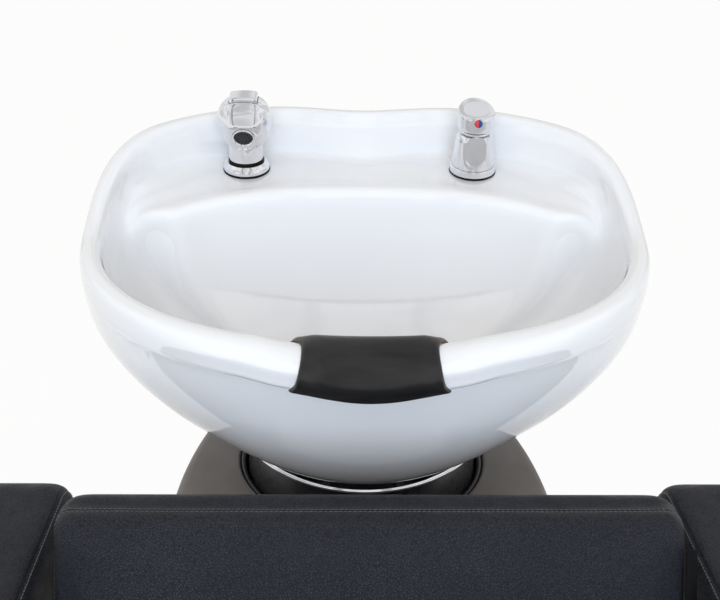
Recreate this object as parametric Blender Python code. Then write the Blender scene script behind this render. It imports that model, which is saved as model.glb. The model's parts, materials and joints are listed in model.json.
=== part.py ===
"""Salon backwash unit: a tilting ceramic basin on a moulded pedestal, joined to an upholstered chair.

Metres, +Z up, X across, Y from the client's feet to the back, origin on the floor under the middle.
The basin and everything it carries are drawn in the basin's own level frame, whose origin is the
tilt axis, and hang on one empty that leans them toward the client as they stand at rest.
"""
import math

import bmesh
import bpy
import numpy as np
from mathutils import Matrix

# Driving dimensions
LENGTH = 1.1814             # arm front to basin back
ARM_GAP = 0.566             # clear width between the two arms
ARM_WIDTH = 0.104
ARM_TOP = 0.694
ARM_REAR_Y = 0.188
GLIDE_HEIGHT = 0.015
SEAT_TOP = 0.455
SEAT_THICK = 0.090
BACK_TOP_Y = 0.040
BACK_LEAN = math.radians(22.0)
BACK_WIDTH = ARM_GAP - 0.014
BACK_HEIGHT = 0.360
BACK_THICK = 0.070
BACK_CORNER = 0.032
BACK_ROLL = 0.014
BACK_FOOT = 0.0203          # lowest corner of the backrest above the seat board
PEDESTAL_TOP = 0.575
PEDESTAL_WIDTH = 0.426
PEDESTAL_FRONT_Y = 0.175
PEDESTAL_BACK_Y = 0.560
SHELL_WALL = 0.005
RECESS_RADIUS = 0.144
PIVOT_Y = 0.382
PIVOT_Z = 0.560
REST_TILT = math.radians(8.0)
BOOT_RADIUS = RECESS_RADIUS - 0.0095
FOOT_RADIUS = BOOT_RADIUS + 0.0060
FOOT_Z = 0.1000             # basin frame: heights are above the tilt axis
BASIN_WIDTH = 0.604
BASIN_BACK = 0.225          # centre line of the rim to its back and front
BASIN_FRONT = 0.235
RIM_CENTRE_Y = 0.040
RIM_BAND = 0.0205
RIM_Z = 0.305
BACK_RISE = 0.049
BACK_DIP = 0.020
NECK_NOTCH = 0.004
DECK_Z = 0.300
BOWL_FLOOR_Z = 0.128
CERAMIC = 0.011
DRAIN_RADIUS = 0.024
DRAIN_SEAT = 0.006
DRAIN_UNDER = 0.014
TAP_X = 0.2227 * BASIN_WIDTH  # half the distance between the two taps
TAP_SHIFT = -0.0040
TAP_Y = BASIN_BACK - 0.041
TAP_FLANGE = 0.0272
FIT = 0.0003                # clearance between pieces that sit together
PAD_GAP = 0.0008
AROUND = 56

HALF_BASIN = BASIN_WIDTH / 2
HALF_ARM_GAP = ARM_GAP / 2
ARM_MID_X = HALF_ARM_GAP + ARM_WIDTH / 2
FRONT_Y = -LENGTH / 2
BOARD_TOP = SEAT_TOP - SEAT_THICK - FIT
BACK_TOP_Z = BOARD_TOP + BACK_FOOT + BACK_THICK * math.sin(BACK_LEAN) + BACK_HEIGHT * math.cos(BACK_LEAN)


def clear_scene():
    """Remove every object, so that the script starts from nothing."""
    for thing in list(bpy.data.objects):
        bpy.data.objects.remove(thing, do_unlink=True)


def finish(name, colour, roughness, metallic=0.0):
    """Return a plain material."""
    made = bpy.data.materials.new(name)
    made.use_nodes = True
    shader = made.node_tree.nodes["Principled BSDF"]
    shader.inputs["Base Color"].default_value = (colour[0], colour[1], colour[2], 1.0)
    shader.inputs["Roughness"].default_value = roughness
    shader.inputs["Metallic"].default_value = metallic
    made.diffuse_color = (colour[0], colour[1], colour[2], 1.0)
    return made


def build_finishes():
    """Return the materials by short name."""
    return {
        "ceramic": finish("glazed_ceramic", (0.86, 0.87, 0.88), 0.08),
        "chrome": finish("chrome_plate", (0.80, 0.81, 0.83), 0.06, 1.0),
        "steel": finish("zinc_steel", (0.55, 0.56, 0.57), 0.35, 1.0),
        "painted": finish("black_painted_steel", (0.03, 0.03, 0.032), 0.45),
        "moulding": finish("grey_moulding", (0.10, 0.095, 0.09), 0.6),
        "boot": finish("grey_boot_plastic", (0.06, 0.06, 0.068), 0.5),
        "rubber": finish("black_rubber", (0.012, 0.012, 0.012), 0.7),
        "gel": finish("black_gel", (0.02, 0.02, 0.022), 0.3),
        "vinyl": finish("black_vinyl", (0.018, 0.018, 0.020), 0.45),
        "board": finish("plywood", (0.45, 0.32, 0.19), 0.7),
        "nylon": finish("white_nylon", (0.75, 0.75, 0.73), 0.5),
        "brass": finish("brass", (0.72, 0.55, 0.25), 0.3, 1.0),
        "dark": finish("dark_plastic", (0.02, 0.02, 0.022), 0.4),
        "cartridge": finish("grey_cartridge", (0.35, 0.36, 0.38), 0.5),
        "red": finish("red_plastic", (0.55, 0.02, 0.02), 0.3),
        "blue": finish("blue_plastic", (0.02, 0.06, 0.45), 0.3),
        "fabric": finish("black_tape", (0.015, 0.015, 0.016), 0.8),
    }


def empty(name, parent=None, matrix=None):
    """Add an empty that marks a joint."""
    made = bpy.data.objects.new(name, None)
    made.empty_display_size = 0.03
    bpy.context.scene.collection.objects.link(made)
    made.parent = parent
    if matrix is not None:
        made.matrix_basis = matrix
    return made


def add_mesh(name, points, faces, look, parent=None, matrix=None):
    """Add one closed body, facing out."""
    mesh = bpy.data.meshes.new(name)
    mesh.from_pydata([tuple(float(v) for v in point) for point in points], [], faces)
    work = bmesh.new()
    work.from_mesh(mesh)
    bmesh.ops.recalc_face_normals(work, faces=work.faces)
    work.to_mesh(mesh)
    work.free()
    mesh.update()
    thing = bpy.data.objects.new(name, mesh)
    if look is not None:
        mesh.materials.append(look)
    bpy.context.scene.collection.objects.link(thing)
    thing.parent = parent
    if matrix is not None:
        thing.matrix_basis = matrix
    return thing


def loft(name, rings, look, parent=None, matrix=None, loop=False):
    """Join rings of equally many points; a loop closes on itself, otherwise both ends get a face."""
    rings = [np.asarray(ring, dtype=float) for ring in rings]
    count = len(rings[0])
    points = np.concatenate(rings)
    faces = []
    for level in range(len(rings) if loop else len(rings) - 1):
        low = level * count
        high = ((level + 1) % len(rings)) * count
        for side in range(count):
            after = (side + 1) % count
            faces.append((low + side, low + after, high + after, high + side))
    if not loop:
        faces.append(tuple(range(count)))
        faces.append(tuple(range(len(points) - count, len(points))))
    return add_mesh(name, points, faces, look, parent, matrix)


def circle(radius, height, count=24, centre=(0.0, 0.0)):
    """Return a level ring of points."""
    turn = np.arange(count) * 2 * math.pi / count
    ring = np.empty((count, 3))
    ring[:, 0] = centre[0] + radius * np.cos(turn)
    ring[:, 1] = centre[1] + radius * np.sin(turn)
    ring[:, 2] = height
    return ring


def turned(name, profile, look, parent=None, matrix=None, count=24, loop=False):
    """Turn a list of (radius, height) about Z; a loop makes a ring, otherwise a solid."""
    rings = [circle(radius, height, count) for radius, height in profile]
    return loft(name, rings, look, parent, matrix, loop)


def hex_nut(name, bore, corner, low, high, look, parent=None, matrix=None):
    """Add a six-sided nut with a round bore."""
    count = 24
    rings = [circle(bore, low, count), circle(corner, low, count), circle(corner, high, count),
             circle(bore, high, count)]
    turn = np.arange(count) * 2 * math.pi / count
    flat = math.cos(math.pi / 6) / np.cos(np.mod(turn, math.pi / 3) - math.pi / 6)
    for ring in rings[1:3]:
        ring[:, :2] *= flat[:, None]
    return loft(name, rings, look, parent, matrix, True)


def at(x, y, z):
    """Return a matrix that only moves."""
    return Matrix.Translation((x, y, z))


def along_x(x, y, z, sign=1.0):
    """Return a matrix that lays a turned piece along X."""
    return Matrix.Translation((x, y, z)) @ Matrix.Rotation(sign * math.pi / 2, 4, "Y")


def box_points(low, high):
    """Return the corners and faces of a box."""
    points = []
    for x in (low[0], high[0]):
        for y in (low[1], high[1]):
            for z in (low[2], high[2]):
                points.append((x, y, z))
    faces = [(0, 1, 3, 2), (4, 6, 7, 5), (0, 4, 5, 1), (2, 3, 7, 6), (0, 2, 6, 4), (1, 5, 7, 3)]
    return points, faces


def box(name, low, high, look, parent=None, matrix=None):
    """Add a plain box between two corners."""
    points, faces = box_points(low, high)
    return add_mesh(name, points, faces, look, parent, matrix)


def prism_x(name, outline, x0, x1, look, parent=None, matrix=None):
    """Draw a (y, z) outline out along X."""
    low = [(x0, y, z) for y, z in outline]
    high = [(x1, y, z) for y, z in outline]
    return loft(name, [low, high], look, parent, matrix)


def prism_y(name, outline, y0, y1, look, parent=None, matrix=None):
    """Draw an (x, z) outline out along Y."""
    low = [(x, y0, z) for x, z in outline]
    high = [(x, y1, z) for x, z in outline]
    return loft(name, [low, high], look, parent, matrix)


def cut(target, cutter):
    """Take the cutter out of the target."""
    cutter.hide_render = True
    cutter.display_type = "WIRE"
    tool = target.modifiers.new("cut_" + cutter.name, "BOOLEAN")
    tool.operation = "DIFFERENCE"
    tool.solver = "EXACT"
    tool.object = cutter


def join_in(target, other):
    """Weld another solid onto the target."""
    other.hide_render = True
    other.display_type = "WIRE"
    tool = target.modifiers.new("join_" + other.name, "BOOLEAN")
    tool.operation = "UNION"
    tool.solver = "EXACT"
    tool.object = other


def soft_rectangle(half_u, half_v, radius, arc=4, side=3, draw=0.0):
    """Return a round-cornered rectangle whose sides pull in a little between the corners."""
    points = []
    corners = [(1, 1, 0.0), (-1, 1, 0.5), (-1, -1, 1.0), (1, -1, 1.5)]
    for index, (su, sv, start) in enumerate(corners):
        cu = su * (half_u - radius)
        cv = sv * (half_v - radius)
        for step in range(arc + 1):
            turn = (start + 0.5 * step / arc) * math.pi
            points.append((cu + radius * math.cos(turn), cv + radius * math.sin(turn)))
        nu, nv, following = corners[(index + 1) % 4]
        turn = (following % 2.0) * math.pi
        here = points[-1]
        there = (nu * (half_u - radius) + radius * math.cos(turn),
                 nv * (half_v - radius) + radius * math.sin(turn))
        for step in range(1, side + 1):
            mix = step / (side + 1)
            pull = draw * math.sin(math.pi * mix)
            u = here[0] + (there[0] - here[0]) * mix
            v = here[1] + (there[1] - here[1]) * mix
            if abs(there[0] - here[0]) > abs(there[1] - here[1]):
                v -= math.copysign(pull, v)
            else:
                u -= math.copysign(pull, u)
            points.append((u, v))
    return np.array(points)


def cushion_rings(half_u, half_v, thick, radius, roll, crown_low, crown_high, draw):
    """Return rings (u, v, w) of a stuffed block: rolled edges, crowned faces, sides drawn in."""
    least = min(half_u, half_v)
    rows = [
        (0.62 * least, -crown_low), (0.30 * least, -0.80 * crown_low), (1.2 * roll, -0.18 * crown_low),
        (0.35 * roll, 0.30 * roll), (0.0, 1.1 * roll), (0.0, thick - 1.1 * roll),
        (0.35 * roll, thick - 0.30 * roll), (1.2 * roll, thick + 0.18 * crown_high),
        (0.30 * least, thick + 0.80 * crown_high), (0.62 * least, thick + crown_high),
    ]
    rings = []
    for inset, height in rows:
        flat = soft_rectangle(half_u - inset, half_v - inset, max(radius - 0.6 * inset, 0.012),
                              draw=draw * (1 - inset / least))
        rings.append(np.column_stack([flat, np.full(len(flat), height)]))
    return rings


def smooth(value, low, high):
    """Return an S-shaped step from 0 to 1."""
    share = np.clip((np.asarray(value, dtype=float) - low) / (high - low), 0.0, 1.0)
    return share * share * (3 - 2 * share)


def rim_turns(count):
    """Return the angles round the basin, closer together at the front lip."""
    even = np.arange(count) * 2 * math.pi / count
    return even - 0.42 * np.cos(even)


def egg(turn, half, back, front, centre_y, power_back, power_front):
    """Return a plan outline: two half superellipses that meet at the widest line."""
    cosine = np.cos(turn)
    sine = np.sin(turn)
    power = np.where(sine > 0, power_back, power_front)
    reach = np.where(sine > 0, back, front)
    x = half * np.sign(cosine) * np.abs(cosine) ** (2 / power)
    y = centre_y + reach * np.sign(sine) * np.abs(sine) ** (2 / power)
    return x, y


def rim_height(x, y):
    """Return the height of the rim: level in front, raised behind the taps, notched for the neck."""
    notch = NECK_NOTCH * (1 - smooth(np.abs(x), 0.078, 0.120)) * (np.asarray(y) < 0)
    return RIM_Z + BACK_RISE * smooth(y, 0.0, 0.88 * BASIN_BACK) - notch


def basin_lines(turn):
    """Return the plan lines that shape the basin at the given angles."""
    turn = np.asarray(turn, dtype=float)
    out_x, out_y = egg(turn, HALF_BASIN, BASIN_BACK, BASIN_FRONT, RIM_CENTRE_Y, 2.5, 2.3)
    dip = BACK_DIP * np.exp(-(out_x / 0.08) ** 2) * smooth(np.sin(turn), 0.2, 0.8)
    in_x, in_y = egg(turn, HALF_BASIN - RIM_BAND, BASIN_BACK - 0.0195, BASIN_FRONT - 0.023,
                     RIM_CENTRE_Y, 2.5, 2.3)
    shelf_x, shelf_y = egg(turn, HALF_BASIN - 0.050, BASIN_BACK - 0.0275, BASIN_FRONT - 0.047,
                           RIM_CENTRE_Y, 2.4, 2.3)
    back_x, back_y = egg(turn, HALF_BASIN - 0.059, 0.56 * BASIN_BACK, 0.64 * BASIN_FRONT, 0.0, 2.2, 2.3)
    deck = smooth(np.sin(turn), 0.04, 0.60)
    side = push(in_x, in_y - dip, -0.0150)
    edge = blend(side, (back_x, back_y), deck)
    front = np.abs((turn - 1.5 * math.pi + math.pi) % (2 * math.pi) - math.pi)
    window = np.cos(0.5 * math.pi * np.clip(front / 0.95, 0, 1)) ** 2
    nose = np.exp(-(out_x / 0.055) ** 2) * (np.sin(turn) < 0)
    return {"out": (out_x, out_y - dip), "in": (in_x, in_y - dip), "edge": edge,
            "shelf": blend(side, (shelf_x, shelf_y - dip), deck), "deck": deck,
            "lip": 0.013 * window + 0.009 * nose, "drop": 0.034 - 0.004 * window + 0.005 * nose,
            "tuck": 0.011 * window}


def push(x, y, distance):
    """Move plan points away from the basin's middle."""
    length = np.hypot(x, y - RIM_CENTRE_Y)
    return x + x / length * distance, y + (y - RIM_CENTRE_Y) / length * distance


def blend(first, second, share):
    """Mix two plan lines."""
    return (first[0] + (second[0] - first[0]) * share, first[1] + (second[1] - first[1]) * share)


def stack(line, height):
    """Return plan line and height as points."""
    return np.column_stack([line[0], line[1], np.broadcast_to(height, np.shape(line[0]))])


def lip_stations(turn):
    """Return the rows over the rim, from the inner wall across the crest to under the lip."""
    lines = basin_lines(turn)
    rim = rim_height(*lines["out"])
    drop = lines["drop"]
    outer = push(*lines["out"], lines["lip"])
    top = push(*lines["out"], 0.55 * lines["lip"] - 0.0035)
    crest = blend(lines["in"], top, 0.5)
    return [
        stack(push(*lines["in"], -0.0025 - 0.0020 * lines["deck"]), rim - 0.016),
        stack(lines["in"], rim - 0.0050),
        stack(blend(lines["in"], crest, 0.45), rim - 0.0008),
        stack(crest, rim),
        stack(top, rim - 0.0015 - 0.05 * drop),
        stack(push(*outer, -0.0008), rim - 0.35 * drop),
        stack(outer, rim - 0.75 * drop),
        stack(push(*outer, -0.0004 - 0.145 * lines["tuck"]), rim - drop),
    ]


SKIRT_STEPS = (0.10, 0.22, 0.36, 0.50, 0.64, 0.78, 0.90)


def skirt_row(lines, turn, share, inward):
    """Return one row of the outer shell between the tucked line under the lip and the foot."""
    start = push(*lines["out"], -lines["tuck"] - 0.001 - inward)
    top = rim_height(*lines["out"]) - lines["drop"] - 0.006
    foot = ((FOOT_RADIUS - inward) * np.cos(turn), (FOOT_RADIUS - inward) * np.sin(turn))
    spread = np.cos(0.5 * math.pi * share) ** 1.8
    fall = np.sin(0.5 * math.pi * share)
    return stack(blend(foot, start, spread), top + (FOOT_Z - top) * fall)


def bowl_row(lines, turn, share, outward, lower):
    """Return one row of the bowl between its edge and the drain."""
    start = push(*lines["edge"], outward)
    deck = lines["deck"]
    top = DECK_Z * deck + (rim_height(*lines["out"]) - 0.064) * (1 - deck)
    radius = DRAIN_RADIUS + 0.0125
    foot = (radius * np.cos(turn), radius * np.sin(turn))
    spread = np.cos(0.5 * math.pi * share) ** 0.78 - 0.28 * (1 - deck) * share * (1 - share) ** 2
    rise = 1 - np.sin(0.5 * math.pi * share) ** 0.90
    return stack(blend(foot, start, spread), BOWL_FLOOR_Z + (top - BOWL_FLOOR_Z) * rise - lower)


def basin_rows(turn):
    """Return every row of the basin in order, right round its section."""
    lines = basin_lines(turn)
    rim = rim_height(*lines["out"])
    deck = lines["deck"]
    lip = lip_stations(turn)
    rows = list(lip)
    rows.append(skirt_row(lines, turn, 0.0, 0.0))
    for share in SKIRT_STEPS:
        rows.append(skirt_row(lines, turn, share, 0.0))
    rows.append(stack((FOOT_RADIUS * np.cos(turn), FOOT_RADIUS * np.sin(turn)), FOOT_Z))
    inner_foot = FOOT_RADIUS - CERAMIC
    rows.append(stack((inner_foot * np.cos(turn), inner_foot * np.sin(turn)), FOOT_Z))
    for share in (0.86, 0.62, 0.36, 0.12):
        rows.append(skirt_row(lines, turn, share, CERAMIC))
    under_z = (DECK_Z - CERAMIC) * deck + (rim - 0.052) * (1 - deck)
    rows.append(stack(blend(lines["in"], lines["out"], 0.15), rim - 0.030))
    rows.append(stack(push(*lines["shelf"], 0.006 + 0.003 * (1 - deck)), under_z))
    low_z = (DECK_Z - CERAMIC) * deck + (rim - 0.072) * (1 - deck)
    rows.append(stack(push(*lines["edge"], CERAMIC), low_z))
    for share in (0.32, 0.62, 0.84):
        rows.append(bowl_row(lines, turn, share, CERAMIC * 0.8, CERAMIC))
    throat = (DRAIN_RADIUS * np.cos(turn), DRAIN_RADIUS * np.sin(turn))
    rows.append(stack(throat, BOWL_FLOOR_Z - DRAIN_UNDER))
    rows.append(stack(throat, BOWL_FLOOR_Z - DRAIN_SEAT))
    recess = DRAIN_RADIUS + 0.0118
    rows.append(stack((recess * np.cos(turn), recess * np.sin(turn)), BOWL_FLOOR_Z - DRAIN_SEAT))
    for share in (1.0, 0.86, 0.72, 0.58, 0.44, 0.30, 0.17, 0.07):
        rows.append(bowl_row(lines, turn, share, 0.0, 0.0))
    start = push(*lines["in"], -0.0025 - 0.0020 * deck)
    edge_z = DECK_Z * deck + (rim - 0.058) * (1 - deck)
    rows.append(stack(push(*lines["edge"], 0.006 * deck + 0.0022 * (1 - deck)), edge_z))
    shelf_z = DECK_Z * deck + (rim - 0.042) * (1 - deck)
    rows.append(stack(blend(start, lines["shelf"], deck + 0.478 * (1 - deck)), shelf_z))
    rows.append(stack(blend(start, lines["shelf"], 0.5 * deck + 0.20 * (1 - deck)),
                      (0.80 * DECK_Z + 0.20 * (rim - 0.016)) * deck + (rim - 0.028) * (1 - deck)))
    return rows


def build_basin(looks, tilt):
    """Add the ceramic basin with its two tap holes."""
    turn = rim_turns(AROUND)
    basin = loft("basin_bowl", basin_rows(turn), looks["ceramic"], tilt, loop=True)
    for side, label in ((-1, "holder"), (1, "mixer")):
        hole = turned("cut_hole_" + label, [(0.0175, DECK_Z - 0.030), (0.0175, DECK_Z + 0.010)], None, tilt,
                      at(side * TAP_X + TAP_SHIFT, TAP_Y, 0.0), 20)
        cut(basin, hole)


def build_neck_rest(looks, tilt):
    """Add the gel saddle that lies over the front lip."""
    columns = 13
    fine = np.linspace(-0.62, 0.62, 301)
    sheet = np.array(lip_stations(1.5 * math.pi + fine))
    rows = len(sheet)
    across = np.linspace(-1, 1, columns)
    down = np.linspace(0, 1, rows)
    base = np.empty((rows, columns, 3))
    for row in range(rows):
        line = sheet[row]
        waist = 0.062 + (0.018 if down[row] < 0.5 else 0.011) * (2 * down[row] - 1) ** 2
        want = across * waist
        for axis in range(3):
            base[row, :, axis] = np.interp(want, line[:, 0], line[:, axis])
    slope_u = np.gradient(base, axis=1)
    slope_v = np.gradient(base, axis=0)
    normal = np.cross(slope_u, slope_v)
    normal /= np.linalg.norm(normal, axis=2, keepdims=True)
    if normal[rows // 2, columns // 2, 2] < 0:
        normal = -normal
    edge = np.minimum(1 - np.abs(across)[None, :], 0.5 - np.abs(down - 0.5)[:, None])
    thick = 0.0042 + 0.0034 * smooth(edge, 0.0, 0.35)
    low = base + normal * PAD_GAP
    high = base + normal * (PAD_GAP + thick)[:, :, None]
    points = np.concatenate([low.reshape(-1, 3), high.reshape(-1, 3)])
    faces = []
    half = rows * columns
    for row in range(rows - 1):
        for col in range(columns - 1):
            a = row * columns + col
            quad = (a, a + 1, a + columns + 1, a + columns)
            faces.append(quad[::-1])
            faces.append(tuple(v + half for v in quad))
    rim = [(0, c) for c in range(columns)] + [(r, columns - 1) for r in range(1, rows)]
    rim += [(rows - 1, c) for c in range(columns - 2, -1, -1)] + [(r, 0) for r in range(rows - 2, 0, -1)]
    for here, there in zip(rim, rim[1:] + rim[:1]):
        a = here[0] * columns + here[1]
        b = there[0] * columns + there[1]
        faces.append((a, b, b + half, a + half))
    add_mesh("neck_rest", points, faces, looks["gel"], tilt)


def build_foot(looks, tilt):
    """Add the chrome ring, the ball-shaped boot, the tilt head and what clamps the basin to it."""
    ring_top = FOOT_Z - FIT
    ring_low = ring_top - 0.012
    ring_in = FOOT_RADIUS - 0.0225
    turned("foot_ring", [(ring_in, ring_low), (FOOT_RADIUS + 0.0015, ring_low),
                         (FOOT_RADIUS + 0.0030, ring_low + 0.0015), (FOOT_RADIUS + 0.0038, ring_top - 0.002),
                         (FOOT_RADIUS + 0.0025, ring_top), (ring_in, ring_top)],
           looks["chrome"], tilt, None, 40, True)
    outer = []
    inner = []
    flange_top = ring_low - FIT
    reach = math.asin((flange_top - 0.0093) / BOOT_RADIUS)
    for turn in np.linspace(math.radians(-20.0), reach, 5):
        outer.append((BOOT_RADIUS * math.cos(turn), BOOT_RADIUS * math.sin(turn)))
        inner.append(((BOOT_RADIUS - 0.003) * math.cos(turn), (BOOT_RADIUS - 0.003) * math.sin(turn)))
    flange_in = ring_in - 0.0025
    flange_out = BOOT_RADIUS - 0.0045
    outer += [(flange_out, flange_top - 0.0025), (flange_out, flange_top), (flange_in, flange_top)]
    inner[-1] = (flange_in, inner[-1][1])
    turned("tilt_boot", outer + inner[::-1], looks["boot"], tilt, None, 40, True)
    plate_top = ring_top - 0.001
    plate_low = plate_top - 0.007
    plate = ring_in - 0.0040
    head = turned("tilt_head", [(plate, plate_low), (plate, plate_top)], looks["painted"], tilt, None, 32)
    for sign, label in ((-1, "left"), (1, "right")):
        low_x, high_x = sorted((sign * 0.0805, sign * 0.0865))
        ear = prism_x("join_ear_" + label, [(-0.028, plate_low + 0.002), (-0.016, -0.018), (0.016, -0.018),
                                            (0.028, plate_low + 0.002)], low_x, high_x, None, tilt)
        join_in(head, ear)
        bore = turned("cut_ear_" + label, [(0.0085, -0.010), (0.0085, 0.010)], None, tilt,
                      along_x(sign * 0.0835, 0, 0), 20)
        cut(head, bore)
        turned("pivot_bush_" + label, [(0.0064, 0.0), (0.0082, 0.0), (0.0082, 0.0068), (0.0135, 0.0068),
                                       (0.0135, 0.0137), (0.0064, 0.0137)], looks["nylon"], tilt,
               along_x(sign * 0.0800, 0, 0, sign), 20, True)
    hole = turned("cut_head_hole", [(0.0215, plate_low - 0.01), (0.0215, plate_top + 0.01)], None, tilt)
    cut(head, hole)
    pad_top = BOWL_FLOOR_Z - DRAIN_UNDER - FIT
    turned("basin_pad", [(0.026, plate_top + FIT), (0.058, plate_top + FIT), (0.050, pad_top),
                         (0.026, pad_top)], looks["rubber"], tilt, None, 32, True)
    build_waste(looks, tilt, plate_low)


def build_waste(looks, tilt, plate_low):
    """Add the waste fitting, its nut and seal, and the lift-out hair strainer."""
    seat = BOWL_FLOOR_Z - DRAIN_SEAT
    flange_low = seat + 0.0018
    turned("waste_seal", [(0.0205, seat + FIT), (0.0345, seat + FIT), (0.0345, flange_low - FIT),
                          (0.0205, flange_low - FIT)], looks["rubber"], tilt, None, 24, True)
    turned("waste_body", [(0.0170, -0.060), (0.0195, -0.060), (0.0195, flange_low), (0.0345, flange_low),
                          (0.0345, flange_low + 0.0030), (0.0305, flange_low + 0.0045),
                          (0.0280, flange_low + 0.0045), (0.0262, flange_low + 0.0012),
                          (0.0170, flange_low + 0.0012)], looks["chrome"], tilt, None, 24, True)
    nut_top = plate_low - FIT
    hex_nut("waste_nut", 0.0198, 0.0310, nut_top - 0.012, nut_top, looks["brass"], tilt)
    slide = empty("strainer_axis", tilt, at(0.0, 0.0, flange_low))
    strainer = turned("hair_strainer", [(0.0250, 0.0015), (0.0256, 0.0040), (0.0200, 0.0066),
                                        (0.0090, 0.0082), (0.0045, 0.0085), (0.0040, 0.0125),
                                        (0.0055, 0.0145), (0.0030, 0.0160)], looks["chrome"], slide)
    for turn in range(6):
        slot = box("cut_slot_%d" % turn, (0.0080, -0.0018, -0.010), (0.0160, 0.0018, 0.020), None, slide,
                   Matrix.Rotation(turn * math.pi / 3, 4, "Z"))
        cut(strainer, slot)


def build_mixer(looks, tilt):
    """Add the single-lever mixer on the right of the deck."""
    foot = at(TAP_X + TAP_SHIFT, TAP_Y, DECK_Z)
    gasket = 0.0020
    turned("mixer_gasket", [(0.0175, FIT), (TAP_FLANGE + 0.0005, FIT), (TAP_FLANGE + 0.0005, gasket),
                            (0.0175, gasket)], looks["rubber"], tilt, foot, 24, True)
    low = gasket + FIT
    turned("mixer_body", [(0.0090, -0.050), (0.0165, -0.050), (0.0165, low), (TAP_FLANGE, low),
                          (TAP_FLANGE, low + 0.0062), (0.0262, low + 0.0085), (0.0250, low + 0.0095),
                          (0.0222, 0.0440), (0.0202, 0.0500), (0.0172, 0.0510), (0.0172, 0.0240),
                          (0.0090, 0.0240)], looks["chrome"], tilt, foot, 28, True)
    hex_nut("mixer_nut", 0.0169, 0.0260, -0.0260, -CERAMIC - 0.0008, looks["brass"], tilt, foot)
    turned("mixer_inlets", [(0.0030, -0.0780), (0.0060, -0.0780), (0.0060, -0.0500 - FIT), (0.0085, -0.0497),
                            (0.0085, 0.0232), (0.0030, 0.0232)], looks["brass"], tilt, foot, 16, True)
    axis = empty("mixer_turn_axis", tilt, foot)
    turned("mixer_cartridge", [(0.0168, 0.0245), (0.0168, 0.0515), (0.0100, 0.0520), (0.0075, 0.0560),
                               (0.0075, 0.0600)], looks["cartridge"], axis, None, 20)
    turned("mixer_bonnet", [(0.0172, 0.0513), (0.0178, 0.0511), (0.0176, 0.0530), (0.0160, 0.0548),
                            (0.0130, 0.0552), (0.0125, 0.0525), (0.0172, 0.0520)],
           looks["chrome"], tilt, foot, 28, True)
    build_handle(looks, axis)


def build_handle(looks, axis):
    """Add the lever handle that lifts about the cartridge, with its two-colour button."""
    lift = empty("mixer_lift_axis", axis, at(0.0, 0.0, 0.058))
    cap = turned("mixer_handle", [(0.0212, -0.0015), (0.0216, 0.0020), (0.0213, 0.0140), (0.0196, 0.0172),
                                  (0.0130, 0.0190), (0.0060, 0.0194)], looks["chrome"], lift, None, 28)
    rings = []
    for share in np.linspace(0, 1, 6):
        reach = -0.006 + 0.041 * share
        half = 0.0205 * math.sqrt(max(1 - (max(share - 0.30, 0) / 0.72) ** 2, 0.05))
        mid = 0.0128 + 0.0042 * share ** 1.3
        thick = 0.0042 - 0.0012 * share
        rings.append([(half * math.cos(a), reach + 0.25 * thick * math.sin(a), mid + thick * math.sin(a))
                      for a in np.arange(12) * math.pi / 6])
    lever = loft("join_lever", rings, None, lift)
    join_in(cap, lever)
    skirt = turned("cut_skirt", [(0.0192, -0.010), (0.0192, 0.0010)], None, lift, None, 28)
    cut(cap, skirt)
    socket = turned("cut_socket", [(0.0084, -0.010), (0.0084, 0.0050)], None, lift, None, 20)
    cut(cap, socket)
    for sign, label, look in ((-1, "hot", "red"), (1, "cold", "blue")):
        points = [(sign * 0.0002, -0.0046), (sign * 0.0002, 0.0046)]
        for step in range(7):
            turn = math.pi / 2 - step * math.pi / 6
            points.append((sign * (0.0002 + 0.0044 * math.cos(turn)), 0.0044 * math.sin(turn)))
        points = [points[0]] + points[:1:-1]
        spin = at(0.0, -0.0214, 0.0112) @ Matrix.Rotation(math.radians(-10), 4, "X")
        prism_y("indicator_" + label, points, -0.0022, -0.0006, looks[look], lift, spin)


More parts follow.
